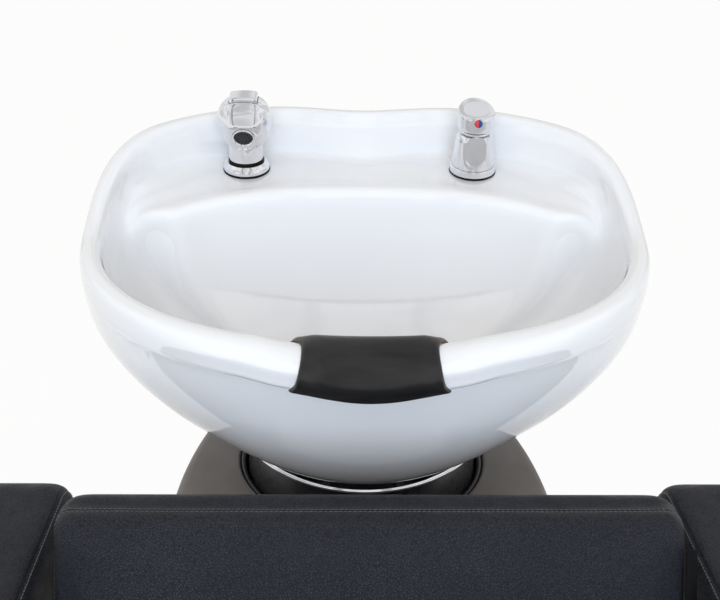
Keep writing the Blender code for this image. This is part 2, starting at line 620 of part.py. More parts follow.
def build_shower(looks, tilt):
    """Add the handset, its holder on the left of the deck and the thumb button."""
    foot = at(-TAP_X + TAP_SHIFT, TAP_Y, DECK_Z)
    gasket = 0.0020
    turned("holder_gasket", [(0.0175, FIT), (TAP_FLANGE + 0.0005, FIT), (TAP_FLANGE + 0.0005, gasket),
                             (0.0175, gasket)], looks["rubber"], tilt, foot, 24, True)
    low = gasket + FIT
    turned("holder_flange", [(0.0150, -0.058), (0.0168, -0.058), (0.0168, low), (TAP_FLANGE, low),
                             (TAP_FLANGE, low + 0.0040), (0.0262, low + 0.0068), (0.0222, 0.0118),
                             (0.0150, 0.0118)], looks["chrome"], tilt, foot, 28, True)
    hex_nut("holder_nut", 0.0172, 0.0260, -0.0260, -CERAMIC - 0.0008, looks["brass"], tilt, foot)
    turned("holder_ring", [(0.0150, 0.0118 + FIT), (0.0218, 0.0118 + FIT), (0.0222, 0.0135), (0.0212, 0.0150),
                           (0.0150, 0.0150)], looks["rubber"], tilt, foot, 24, True)
    slide = empty("handset_axis", tilt, foot)
    body = turned("handset_body", [(0.0060, -0.0480), (0.0143, -0.0480), (0.0143, 0.0153), (0.0200, 0.0153),
                                   (0.0200, 0.0335), (0.0252, 0.0405), (0.0298, 0.0500), (0.0318, 0.0610),
                                   (0.0308, 0.0712), (0.0272, 0.0800), (0.0215, 0.0862), (0.0130, 0.0898),
                                   (0.0060, 0.0904)], looks["chrome"], slide, None, 32)
    aim = Matrix.Rotation(math.radians(110), 4, "X")
    middle = at(0.0, 0.0, 0.0605)
    face = turned("cut_face", [(0.0400, 0.0275), (0.0400, 0.0600)], None, slide, middle @ aim, 32)
    cut(body, face)
    seat = turned("cut_nozzle", [(0.0130, 0.0235), (0.0130, 0.0400)], None, slide, middle @ aim, 24)
    cut(body, seat)
    turned("spray_face", [(0.0127, 0.0235 + FIT), (0.0127, 0.0280), (0.0100, 0.0290), (0.0040, 0.0293)],
           looks["dark"], slide, middle @ aim, 24)
    well = box("cut_button", (-0.0168, -0.0128, 0.0790), (0.0168, 0.0128, 0.1125), None, slide)
    cut(body, well)
    press = empty("button_axis", slide, at(0.0, 0.0, 0.0790))
    crown = [(-0.0163, 0.0036), (0.0163, 0.0036), (0.0163, 0.0120), (0.0110, 0.0148), (0.0, 0.0158),
             (-0.0110, 0.0148), (-0.0163, 0.0120)]
    prism_y("spray_button", crown, -0.0123, 0.0123, looks["chrome"], press)
    turned("hose_tail", [(0.0030, -0.0740), (0.0075, -0.0740), (0.0075, -0.0560), (0.0100, -0.0560),
                         (0.0100, -0.0480 - FIT), (0.0030, -0.0480 - FIT)], looks["brass"], slide, None, 16)


def pedestal_reach(turn):
    """Return the distance from the pedestal's middle to its outline: bowed sides, flat front and back."""
    cosine = np.cos(turn)
    sine = np.sin(turn)
    half = PEDESTAL_WIDTH / 2
    long_half = 0.870 * PEDESTAL_WIDTH
    lead = 0.102
    a = (cosine / half) ** 2 + (sine / long_half) ** 2
    b = 2 * lead * sine / long_half ** 2
    c = (lead / long_half) ** 2 - 1
    side = (-b + np.sqrt(b * b - 4 * a * c)) / (2 * a)
    back = (PEDESTAL_BACK_Y - PIVOT_Y) / np.maximum(sine, 0.05)
    front = (PIVOT_Y - PEDESTAL_FRONT_Y) / np.maximum(-sine, 0.05)
    return (side ** -14 + back ** -14 + front ** -14) ** (-1 / 14)


def pedestal_ring(count, inset, narrow, height):
    """Return one level ring of the pedestal."""
    turn = (np.arange(count) + 0.5) * 2 * math.pi / count
    reach = pedestal_reach(turn) - inset
    ring = np.empty((count, 3))
    ring[:, 0] = reach * np.cos(turn) * narrow
    ring[:, 1] = PIVOT_Y + reach * np.sin(turn)
    ring[:, 2] = height
    return ring


def build_pedestal(looks):
    """Add the moulded shell with its recess, the trim ring and the service panel."""
    count = 48
    plate = 0.010 + FIT
    top = PEDESTAL_TOP
    wall = SHELL_WALL
    rings = [pedestal_ring(count, 0.0, 0.90, plate), pedestal_ring(count, 0.0, 0.93, 0.45 * top),
             pedestal_ring(count, 0.0, 1.0, top - 0.016), pedestal_ring(count, 0.004, 1.0, top - 0.005),
             pedestal_ring(count, 0.014, 1.0, top)]
    shift = math.pi / count
    hub = RECESS_RADIUS + wall
    for radius, height in ((RECESS_RADIUS + 0.004, top), (RECESS_RADIUS, top - 0.004),
                           (RECESS_RADIUS, top - 0.030), (hub, top - 0.030), (hub, top - wall - 0.004)):
        turn = np.arange(count) * 2 * math.pi / count + shift
        rings.append(stack((radius * np.cos(turn), PIVOT_Y + radius * np.sin(turn)), height))
    rings += [pedestal_ring(count, 0.018, 1.0, top - wall - 0.004),
              pedestal_ring(count, wall, 0.995, top - 0.022), pedestal_ring(count, wall, 0.93, 0.45 * top),
              pedestal_ring(count, wall, 0.90, plate)]
    shell = loft("pedestal_shell", rings, looks["moulding"], None, None, True)
    window = box("cut_window", (-0.075, PEDESTAL_BACK_Y - 0.030, 0.130),
                 (0.075, PEDESTAL_BACK_Y + 0.030, 0.400), None)
    cut(shell, window)
    inner = BOOT_RADIUS + 0.002
    outer = RECESS_RADIUS - FIT
    turned("recess_trim", [(inner + 0.001, top - 0.026), (outer, top - 0.026), (outer, top - 0.005),
                           (outer - 0.002, top - 0.002), (inner + 0.001, top - 0.004), (inner, top - 0.012)],
           looks["rubber"], None, at(0.0, PIVOT_Y, 0.0) @ Matrix.Rotation(shift, 4, "Z"), count, True)
    low = PEDESTAL_BACK_Y + FIT
    flat = soft_rectangle(0.092, 0.165, 0.012, arc=3, side=1)
    panel = loft("rear_panel", [[(u, y, 0.265 + v) for u, v in flat] for y in (low, low + 0.003)],
                 looks["moulding"])
    number = 0
    for x in (-0.082, 0.082):
        for z in (0.115, 0.415):
            number += 1
            lay = at(x, low + 0.003, z) @ Matrix.Rotation(-math.pi / 2, 4, "X")
            bore = turned("cut_screw_%d" % number, [(0.0024, -0.030), (0.0024, 0.010)], None, None, lay, 12)
            cut(panel, bore)
            cut(shell, bore)
            turned("panel_screw_%d" % number, [(0.0020, -0.0140), (0.0020, FIT), (0.0046, FIT),
                                               (0.0042, 0.0018), (0.0022, 0.0025)],
                   looks["steel"], None, lay, 12)
    build_column(looks)


def build_column(looks):
    """Add the base plate, the post and the yoke that carries the tilt bolts."""
    half = PEDESTAL_WIDTH / 2
    tongue = 0.090
    nose_y = PEDESTAL_FRONT_Y - 0.100
    outline = [(tongue, nose_y), (tongue, PEDESTAL_FRONT_Y + 0.004)]
    ring = pedestal_ring(48, 0.002, 0.90, 0.0)
    ring = ring[np.argsort(np.mod(np.arctan2(ring[:, 1] - PIVOT_Y, ring[:, 0]) + math.pi / 2, 2 * math.pi))]
    for x, y, _ in ring:
        if not (abs(x) < tongue + 0.002 and y < PIVOT_Y - 0.5 * half):
            outline.append((float(x), float(y)))
    outline += [(-tongue, PEDESTAL_FRONT_Y + 0.004), (-tongue, nose_y)]
    loft("base_plate", [[(x, y, z) for x, y in outline] for z in (0.0, 0.010)], looks["painted"])
    yoke_low = PIVOT_Z - 0.130
    rings = []
    foot = 0.010 + FIT
    for side, height in ((0.045, foot), (0.045, yoke_low - FIT), (0.041, yoke_low - FIT), (0.041, foot)):
        corners = ((side, side), (-side, side), (-side, -side), (side, -side))
        rings.append([(x, PIVOT_Y + y, height) for x, y in corners])
    loft("pedestal_column", rings, looks["painted"], None, None, True)
    top = PIVOT_Z + 0.020
    outline = [(-0.100, yoke_low), (0.100, yoke_low), (0.100, top), (0.094, top), (0.094, yoke_low + 0.006),
               (-0.094, yoke_low + 0.006), (-0.094, top), (-0.100, top)]
    yoke = prism_y("tilt_yoke", outline, PIVOT_Y - 0.032, PIVOT_Y + 0.032, looks["painted"])
    for sign, label in ((-1, "left"), (1, "right")):
        bore = turned("cut_yoke_" + label, [(0.0064, -0.010), (0.0064, 0.010)], None, None,
                      along_x(sign * 0.097, PIVOT_Y, PIVOT_Z), 20)
        cut(yoke, bore)
        turned("pivot_bolt_" + label, [(0.0060, -0.0330), (0.0060, FIT), (0.0110, FIT), (0.0110, 0.0070),
                                       (0.0095, 0.0080)], looks["steel"], None,
               along_x(sign * 0.100, PIVOT_Y, PIVOT_Z, sign), 18)
        hex_nut("pivot_nut_" + label, 0.0063, 0.0105, -0.0302, -0.0205, looks["steel"], None,
                along_x(sign * 0.100, PIVOT_Y, PIVOT_Z, sign))


def build_chair(looks):
    """Add the arms, the seat, the leaning backrest and the frame under them."""
    low = GLIDE_HEIGHT + FIT
    mid_y = (FRONT_Y + ARM_REAR_Y) / 2
    mid_z = (low + ARM_TOP) / 2
    rings = cushion_rings((ARM_REAR_Y - FRONT_Y) / 2, (ARM_TOP - low) / 2, ARM_WIDTH, 0.045, 0.016,
                          0.0, 0.0, 0.0)
    for sign, label in ((-1, "left"), (1, "right")):
        shaped = [np.column_stack([sign * (HALF_ARM_GAP + ring[:, 2]), mid_y + ring[:, 0],
                                   mid_z + ring[:, 1]]) for ring in rings]
        loft("arm_" + label, shaped, looks["vinyl"])
        for y, place in ((FRONT_Y + 0.090, "front"), (ARM_REAR_Y - 0.075, "rear")):
            turned("glide_%s_%s" % (place, label), [(0.018, 0.0), (0.020, 0.004), (0.016, GLIDE_HEIGHT)],
                   looks["dark"], None, at(sign * ARM_MID_X, y, 0.0), 16)
    side = HALF_ARM_GAP - FIT
    board_low = BOARD_TOP - 0.015
    rail_top = board_low - FIT
    behind = BACK_THICK + 0.016
    bend_z = rail_top - 0.014
    slant = (bend_z - BACK_TOP_Z + behind * math.sin(BACK_LEAN)) / math.cos(BACK_LEAN)
    rail_y = BACK_TOP_Y + slant * math.sin(BACK_LEAN) + behind * math.cos(BACK_LEAN) - FIT
    rail_low = rail_top - 0.040
    box("seat_rail_rear", (-side, rail_y - 0.030, rail_low), (side, rail_y, rail_top), looks["painted"])
    box("seat_rail_front", (-side, FRONT_Y + 0.090, rail_low), (side, FRONT_Y + 0.120, rail_top),
        looks["painted"])
    beam_y = PEDESTAL_FRONT_Y - 0.085
    box("tie_beam_rear", (-side, beam_y, 0.010 + FIT), (side, beam_y + 0.040, 0.050), looks["painted"])
    box("front_apron", (-side, FRONT_Y + 0.035, 0.060), (side, FRONT_Y + 0.050, rail_top), looks["vinyl"])
    box("seat_board", (-side + 0.002, FRONT_Y + 0.022, board_low), (side - 0.002, rail_y - 0.002, BOARD_TOP),
        looks["board"])
    seat_front = FRONT_Y + 0.012
    seat_back = BACK_TOP_Y - (BACK_TOP_Z - SEAT_TOP) * math.tan(BACK_LEAN) - 0.020
    rings = cushion_rings(side - 0.005, (seat_back - seat_front) / 2, SEAT_THICK, 0.045, 0.020,
                          0.0, 0.020, 0.003)
    shaped = [ring + np.array([0.0, (seat_back + seat_front) / 2, SEAT_TOP - SEAT_THICK]) for ring in rings]
    loft("seat_cushion", shaped, looks["vinyl"])
    build_backrest(looks, bend_z, rail_y)


def build_backrest(looks, bend_z, rail_y):
    """Add the backrest cushion, its panel, the two steel brackets and the plain seam tag."""
    lean = Matrix.Translation((0.0, BACK_TOP_Y, BACK_TOP_Z)) @ Matrix.Rotation(-BACK_LEAN, 4, "X")
    rings = cushion_rings(BACK_WIDTH / 2, BACK_HEIGHT / 2, BACK_THICK, BACK_CORNER, BACK_ROLL,
                          0.012, 0.0, 0.0)
    shaped = [np.column_stack([ring[:, 0], ring[:, 2], ring[:, 1] - BACK_HEIGHT / 2]) for ring in rings]
    loft("backrest_cushion", shaped, looks["vinyl"], None, lean)
    low = BACK_THICK + FIT
    flat = soft_rectangle(BACK_WIDTH / 2 - 0.012, BACK_HEIGHT / 2 - 0.020, 0.030, arc=3, side=1)
    loft("back_panel", [[(u, y, v - BACK_HEIGHT / 2) for u, v in flat] for y in (low, low + 0.015)],
         looks["vinyl"], None, lean)
    face = low + 0.015 + FIT

    def leaned(y, z):
        """Return the world (y, z) of a point of the leaning frame."""
        return (BACK_TOP_Y + y * math.cos(BACK_LEAN) + z * math.sin(BACK_LEAN),
                BACK_TOP_Z - y * math.sin(BACK_LEAN) + z * math.cos(BACK_LEAN))

    foot = rail_y + FIT
    outline = [(foot, bend_z - 0.055), (foot + 0.006, bend_z - 0.055), (foot + 0.006, bend_z - 0.006),
               leaned(face + 0.006, -0.140), leaned(face, -0.140), (foot, bend_z)]
    for sign, label in ((-1, "left"), (1, "right")):
        low_x, high_x = sorted((sign * 0.130, sign * 0.170))
        prism_x("back_bracket_" + label, outline, low_x, high_x, looks["painted"])
    build_tag(looks, lean)


def build_tag(looks, lean):
    """Add the plain tag that is sewn into the right-hand seam and lies over the rolled edge."""
    radius = BACK_CORNER
    roll = BACK_ROLL
    rings = []
    for depth in (0.040, 0.053, 0.066, 0.079):
        gone = max(radius - depth, 0.0)
        edge = BACK_WIDTH / 2 - radius + math.sqrt(radius * radius - gone * gone)
        near = (edge - 1.10 * roll, -0.0012)
        far = (edge - 0.40 * roll, 0.28 * roll)
        length = math.hypot(far[0] - near[0], far[1] - near[1])
        across = ((far[1] - near[1]) / length, -(far[0] - near[0]) / length)
        ring = []
        for point, lift in ((near, 0.0007), (far, 0.0007), (far, 0.0019), (near, 0.0019)):
            ring.append((point[0] + across[0] * lift, point[1] + across[1] * lift, -depth))
        rings.append(ring)
    loft("seam_tag", rings, looks["fabric"], None, lean)


def build():
    """Build the whole unit."""
    clear_scene()
    looks = build_finishes()
    build_pedestal(looks)
    build_chair(looks)
    lean = Matrix.Translation((0.0, PIVOT_Y, PIVOT_Z)) @ Matrix.Rotation(REST_TILT, 4, "X")
    tilt = empty("basin_tilt_axis", None, lean)
    build_basin(looks, tilt)
    build_neck_rest(looks, tilt)
    build_foot(looks, tilt)
    build_mixer(looks, tilt)
    build_shower(looks, tilt)


build()
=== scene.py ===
import json
import math

import bpy
import numpy as np
from mathutils import Matrix, Vector


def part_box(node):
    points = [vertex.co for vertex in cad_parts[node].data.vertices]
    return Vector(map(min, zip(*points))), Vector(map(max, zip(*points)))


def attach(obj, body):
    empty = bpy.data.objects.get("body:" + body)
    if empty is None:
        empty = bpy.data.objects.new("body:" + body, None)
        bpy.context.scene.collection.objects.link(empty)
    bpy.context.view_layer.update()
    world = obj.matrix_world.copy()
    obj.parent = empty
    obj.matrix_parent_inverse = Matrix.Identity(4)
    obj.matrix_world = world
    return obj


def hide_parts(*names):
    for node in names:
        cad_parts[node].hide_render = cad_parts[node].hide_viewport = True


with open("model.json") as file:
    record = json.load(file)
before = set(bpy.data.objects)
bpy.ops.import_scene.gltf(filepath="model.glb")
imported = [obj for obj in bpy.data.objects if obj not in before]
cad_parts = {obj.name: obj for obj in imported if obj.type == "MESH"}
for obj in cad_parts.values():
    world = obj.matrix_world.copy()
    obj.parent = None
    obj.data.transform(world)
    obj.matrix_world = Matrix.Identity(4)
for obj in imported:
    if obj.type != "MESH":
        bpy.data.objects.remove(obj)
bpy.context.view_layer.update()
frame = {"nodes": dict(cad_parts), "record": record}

# Sizes of the solids, in metres. Basin heights are above the tilt axis, in the basin's own level frame.
PIVOT = np.array([0.0, 0.382, 0.560])
REST_TILT = math.radians(8.0)
HALF_BASIN = 0.302
BASIN_BACK = 0.225
BASIN_FRONT = 0.235
RIM_CENTRE_Y = 0.040
RIM_BAND = 0.0205
PLAN_POWER = (2.5, 2.3)
RIM_Z = 0.305
BACK_RISE = 0.049
BACK_DIP = 0.020
NECK_NOTCH = 0.004
DECK_Z = 0.300
BOWL_FLOOR_Z = 0.128
CERAMIC = 0.011
DRAIN_RADIUS = 0.024
DRAIN_RECESS = 0.006
WASTE_SEAL = 0.0018
RECESS_RADIUS = 0.144
BOOT_RADIUS = 0.1345
FOOT_RADIUS = 0.1405
FOOT_Z = 0.1000
MIXER_X = 0.13051
SHOWER_X = -0.13851
TAP_Y = 0.184
TAP_FLANGE = 0.0272
LEVER_RADIUS = 0.0217
LEVER_REACH = 0.0370
LEVER_Z = 0.058
SHOWER_BALL_Z = 0.0605
SHOWER_AIM = math.radians(110)
PEDESTAL_TOP = 0.575
PEDESTAL_FOOT = 0.0103
PEDESTAL_ROLL = 0.016
PEDESTAL_WALL = 0.005
PEDESTAL_WIDTH = 0.426
PEDESTAL_FRONT_Y = 0.175
PEDESTAL_BACK_Y = 0.560
SEAT_TOP = 0.455
PAD_CORNER = 0.045
BACK_TOP = np.array([0.0, 0.040, 0.745])
BACK_LEAN = math.radians(22.0)
BACK_WIDTH = 0.552
BACK_HEIGHT = 0.360
BACK_THICK = 0.070
BACK_CORNER = 0.032
BACK_ROLL = 0.014

# Fits, mesh steps, edge angles, and settings of the cloth and its seams.
FIT = 0.0003
BASIN_COLUMNS = 384
FRONT_CROWDING = 0.42
SPAN_STEPS = 5
TRIM_EASE = 0.03
PEDESTAL_COLUMNS = 320
LEVER_COLUMNS = 160
SMOOTH_EDGE = math.radians(42)
CUT_EDGE = math.radians(32)
CELL_SHIFT = 0.0009
CLOTH_FRAMES = 20
CLOTH_VOXEL = 0.006
CLOTH_PRESSURE = 4.0
SEAM_DEPTH, SEAM_WIDTH = 0.0015, 0.0017
STITCH_PITCH, STITCH_LENGTH, STITCH_RADIUS = 0.0042, 0.0032, 0.00045


def turned_about_x(points, angle):
    """Turn points about the X axis."""
    c, s = math.cos(angle), math.sin(angle)
    return points @ np.array([[1, 0, 0], [0, c, s], [0, -s, c]])


def in_basin(points):
    """Basin frame to world: tilt toward the client, then move to the tilt axis."""
    return turned_about_x(np.asarray(points, float), REST_TILT) + PIVOT


def in_back(points):
    """Backrest frame (across, depth, height) to world: lean back, then move to the top edge."""
    return turned_about_x(np.asarray(points, float), -BACK_LEAN) + BACK_TOP


def soft_step(value, low, high):
    """S-shaped step from 0 to 1."""
    share = np.clip((np.asarray(value, float) - low) / (high - low), 0, 1)
    return share * share * (3 - 2 * share)


def quads(rows, cols, wrap_rows, wrap_cols):
    """Corner numbers of every cell of a grid, closed in either direction."""
    r = np.arange(rows if wrap_rows else rows - 1)
    c = np.arange(cols if wrap_cols else cols - 1)
    r, c = np.meshgrid(r, c, indexing="ij")
    r2, c2 = (r + 1) % rows, (c + 1) % cols
    return np.stack([r * cols + c, r * cols + c2, r2 * cols + c2, r2 * cols + c], -1).reshape(-1, 4)


def circle(radius, turn):
    """Plan line of a circle about the axis."""
    return radius * np.cos(turn), radius * np.sin(turn)


def stack(line, height):
    """Plan line and height as points."""
    return np.column_stack([line[0], line[1], np.broadcast_to(height, np.shape(line[0]))])


def solid(name, points, faces, caps=()):
    """Put points, four-cornered faces and a few end faces into a mesh that faces out."""
    points = np.asarray(points, float).reshape(-1, 3)
    mesh = bpy.data.meshes.new(name)
    sizes = np.concatenate([np.full(len(faces), 4), [len(c) for c in caps]]).astype(np.int32)
    corners = np.concatenate([np.ravel(faces), *caps]).astype(np.int32)
    starts = np.concatenate([[0], np.cumsum(sizes)[:-1]]).astype(np.int32)
    mesh.vertices.add(len(points))
    mesh.vertices.foreach_set("co", points.astype(np.float32).ravel())
    mesh.loops.add(len(corners))
    mesh.loops.foreach_set("vertex_index", corners)
    mesh.polygons.add(len(sizes))
    mesh.polygons.foreach_set("loop_start", starts)
    mesh.polygons.foreach_set("loop_total", sizes)
    mesh.update(calc_edges=True)
    mesh.validate()
    mesh.calc_loop_triangles()
    tri = np.empty(len(mesh.loop_triangles) * 3, np.int32)
    mesh.loop_triangles.foreach_get("vertices", tri)
    p = points[tri.reshape(-1, 3)] - points.mean(0)
    if np.einsum("ij,ij->", p[:, 0], np.cross(p[:, 1], p[:, 2])) < 0:
        mesh.flip_normals()
    mesh.polygons.foreach_set("use_smooth", np.ones(len(mesh.polygons), bool))
    mesh.set_sharp_from_angle(angle=SMOOTH_EDGE)
    thing = bpy.data.objects.new(name, mesh)
    bpy.context.scene.collection.objects.link(thing)
    return thing


def tube_grid(name, grid, loop=False):
    """Close a grid of rings: on itself when it is a loop, otherwise with a face on each end."""
    rows, cols = grid.shape[:2]
    caps = [] if loop else [np.arange(cols), np.arange(cols) + (rows - 1) * cols]
    return solid(name, grid, quads(rows, cols, loop, True), caps)


def eased(points, radius=0.0006, steps=4, loop=True):
    """Round each corner of a profile: a parabola between two points at the given distance from it."""
    points = np.asarray(points, float)
    before, after = np.roll(points, 1, 0) - points, np.roll(points, -1, 0) - points
    back, ahead = np.linalg.norm(before, axis=1), np.linalg.norm(after, axis=1)
    reach = np.minimum(radius, 0.45 * np.minimum(back, ahead))[:, None]
    start = points + before / np.maximum(back, 1e-9)[:, None] * reach
    end = points + after / np.maximum(ahead, 1e-9)[:, None] * reach
    t = np.linspace(0, 1, steps)[:, None, None]
    curve = (1 - t) ** 2 * start + 2 * t * (1 - t) * points + t * t * end
    curve = curve.transpose(1, 0, 2)
    if not loop:
        curve[0], curve[-1] = points[0], points[-1]
    return curve.reshape(-1, points.shape[1])


def fair_curve(rows, per_span):
    """Natural cubic spline through the rows, one spline for each column, spaced by its own chords."""
    rows = np.asarray(rows, float)
    step = np.diff(rows, axis=0)
    gap = np.linalg.norm(step, axis=2)[:, :, None] + 1e-9
    slope = step / gap
    bend = np.zeros_like(rows)
    main = 2 * (gap[:-1] + gap[1:])
    right = 6 * np.diff(slope, axis=0)
    for i in range(1, len(main)):
        share = gap[i] / main[i - 1]
        main[i] -= share * gap[i]
        right[i] -= share * right[i - 1]
    for i in range(len(main) - 1, -1, -1):
        bend[i + 1] = (right[i] - gap[i + 1] * bend[i + 2]) / main[i]
    t = np.arange(per_span)[None, :, None, None] / per_span
    first, second = rows[:-1, None], rows[1:, None]
    pull = ((1 - t) ** 3 - (1 - t)) * bend[:-1, None] + (t ** 3 - t) * bend[1:, None]
    fine = (1 - t) * first + t * second + gap[:, None] ** 2 / 6 * pull
    return np.concatenate([fine.reshape(-1, *rows.shape[1:]), rows[-1:]])


def flowing(points, per_span=6):
    """The same spline through a flat list of points."""
    return fair_curve(np.asarray(points, float)[:, None, :], per_span)[:, 0]


def spun(profile, count=96, about=(0.0, 0.0, 0.0)):
    """Rings of a (radius, height) profile turned about Z through a point."""
    profile = np.asarray(profile, float)
    turn = np.arange(count) * 2 * math.pi / count
    grid = np.empty((len(profile), count, 3))
    grid[..., 0] = about[0] + profile[:, :1] * np.cos(turn)
    grid[..., 1] = about[1] + profile[:, :1] * np.sin(turn)
    grid[..., 2] = about[2] + profile[:, 1:2]
    return grid


def rounded_outline(half_u, half_v, corner, along_u, along_v, arc):
    """Rounded rectangle: four straight sides and four quarter circles, evenly stepped."""
    turn = np.linspace(0, math.pi / 2, arc, endpoint=False)
    parts = []
    for quarter, (su, sv) in enumerate(((1, 1), (-1, 1), (-1, -1), (1, -1))):
        angle = turn + quarter * math.pi / 2
        centre = np.array([su * (half_u - corner), sv * (half_v - corner)])
        parts.append(centre + corner * np.column_stack([np.cos(angle), np.sin(angle)]))
        count = along_u if quarter % 2 == 0 else along_v
        nu, nv = ((-1, 1), (-1, -1), (1, -1), (1, 1))[quarter]
        last = quarter * math.pi / 2 + math.pi / 2
        there = np.array([nu * (half_u - corner), nv * (half_v - corner)])
        edge = corner * np.array([math.cos(last), math.sin(last)])
        mix = np.linspace(0, 1, count, endpoint=False)[:, None]
        parts.append((centre + edge) * (1 - mix) + (there + edge) * mix)
    return np.concatenate(parts)


def grid_of(thing, shape=(-1, 3)):
    """Read a piece's points back, as its grid where a shape is given."""
    spots = np.empty(len(thing.data.vertices) * 3, np.float32)
    thing.data.vertices.foreach_get("co", spots)
    return spots.reshape(shape).astype(float)


def reshape(thing, points):
    """Write new places into a piece's points."""
    thing.data.vertices.foreach_set("co", np.asarray(points, np.float32).ravel())
    thing.data.update()


def baked(thing):
    """Apply an object's modifiers to its mesh."""
    graph = bpy.context.evaluated_depsgraph_get()
    mesh = bpy.data.meshes.new_from_object(thing.evaluated_get(graph))
    thing.modifiers.clear()
    thing.data = mesh
    return thing


def carve(target, other):
    """Cut one solid out of another and drop the cutter."""
    tool = target.modifiers.new("difference", "BOOLEAN")
    tool.operation = "DIFFERENCE"
    tool.solver = "EXACT"
    tool.object = other
    bpy.context.view_layer.update()
    baked(target)
    bpy.data.objects.remove(other, do_unlink=True)
    target.data.polygons.foreach_set("use_smooth", np.ones(len(target.data.polygons), bool))
    target.data.set_sharp_from_angle(angle=CUT_EDGE)


# Finishes


def joined(tree, kind, *inputs, **values):
    """Add a node to a tree; each input is a socket and a value or another node's output."""
    made = tree.nodes.new(kind)
    for key, value in values.items():
        setattr(made, key, value)
    for socket, value in inputs:
        if isinstance(value, bpy.types.NodeSocket):
            tree.links.new(value, made.inputs[socket])
        else:
            made.inputs[socket].default_value = value
    return made


def worked(tree, operation, *values):
    """Result of a Math node on the given values."""
    return joined(tree, "ShaderNodeMath", *enumerate(values), operation=operation).outputs[0]


def smooth_range(tree, value, start, end, low):
    """Smooth step of a value, from a low number up to 1."""
    return joined(tree, "ShaderNodeMapRange", ("Value", value), ("From Min", start), ("From Max", end),
                  ("To Min", low), ("To Max", 1.0), interpolation_type="SMOOTHSTEP").outputs[0]


class Finish:
    """One procedural material on Object coordinates, with short calls for its textures."""

    def __init__(self, name, colour, roughness, metallic=0.0, **sockets):
        self.made = bpy.data.materials.new(name)
        self.made.use_nodes = True
        self.tree = self.made.node_tree
        self.shader = self.tree.nodes["Principled BSDF"]
        self.set("Base Color", (*colour, 1.0))
        self.set("Roughness", roughness)
        self.set("Metallic", metallic)
        for socket, value in sockets.items():
            self.set(socket.replace("_", " ").title().replace("Ior", "IOR"), value)
        self.place = self.tree.nodes.new("ShaderNodeTexCoord").outputs["Object"]
        self.relief = None

    def set(self, socket, value):
        """Give one of the shader's sockets a constant."""
        self.shader.inputs[socket].default_value = value

    def node(self, kind, *inputs, **values):
        """Add a node to this material."""
        return joined(self.tree, kind, *inputs, **values)

    def noise(self, scale, detail=3.0, stretch=None, distortion=0.0):
        """Cloudy noise, stretched along an axis where asked."""
        place = self.place
        if stretch:
            place = self.node("ShaderNodeMapping", ("Vector", place), ("Scale", stretch)).outputs[0]
        return self.node("ShaderNodeTexNoise", ("Vector", place), ("Scale", scale), ("Detail", detail),
                         ("Distortion", distortion)).outputs["Fac"]

    def cells(self, scale):
        """Pebbled cells: distance to their edges, on coordinates shifted a little by noise."""
        shift = self.node("ShaderNodeTexNoise", ("Vector", self.place),
                          ("Scale", scale * 0.35)).outputs["Color"]
        shift = self.node("ShaderNodeVectorMath", (0, shift), (1, (CELL_SHIFT,) * 3),
                          operation="MULTIPLY").outputs[0]
        moved = self.node("ShaderNodeVectorMath", (0, self.place), (1, shift)).outputs[0]
        return self.node("ShaderNodeTexVoronoi", ("Vector", moved), ("Scale", scale),
                         feature="DISTANCE_TO_EDGE").outputs["Distance"]

    def ramp(self, value, low, high, start=0.3, end=0.7):
        """Map a texture to a range of numbers or colours."""
        made = self.node("ShaderNodeValToRGB", ("Fac", value))
        ends = made.color_ramp.elements
        for stop, place, shade in ((ends[0], start, low), (ends[1], end, high)):
            stop.position = place
            stop.color = (*shade, 1.0) if np.ndim(shade) else (shade, shade, shade, 1.0)
        return made.outputs["Color"]

    def feed(self, socket, output):
        """Drive one of the shader's sockets."""
        self.tree.links.new(output, self.shader.inputs[socket])

    def bump(self, height, distance, strength=1.0):
        """Add a layer of relief, in metres."""
        inputs = [("Height", height), ("Distance", distance), ("Strength", strength)]
        if self.relief is not None:
            inputs.append(("Normal", self.relief))
        self.relief = self.node("ShaderNodeBump", *inputs).outputs["Normal"]
        self.tree.links.new(self.relief, self.shader.inputs["Normal"])


def clouded(name, colour, roughness, tint, rough=None, relief=None, **sockets):
    """Finish that follows cloudy noise: tint and rough are (scale, detail, low, high),
    relief is (scale, detail, height, strength)."""
    made = Finish(name, colour, roughness, **sockets)
    made.feed("Base Color", made.ramp(made.noise(*tint[:2]), *tint[2:]))
    if rough:
        made.feed("Roughness", made.ramp(made.noise(*rough[:2]), *rough[2:]))
    if relief:
        made.bump(made.noise(*relief[:2]), *relief[2:])
    return made


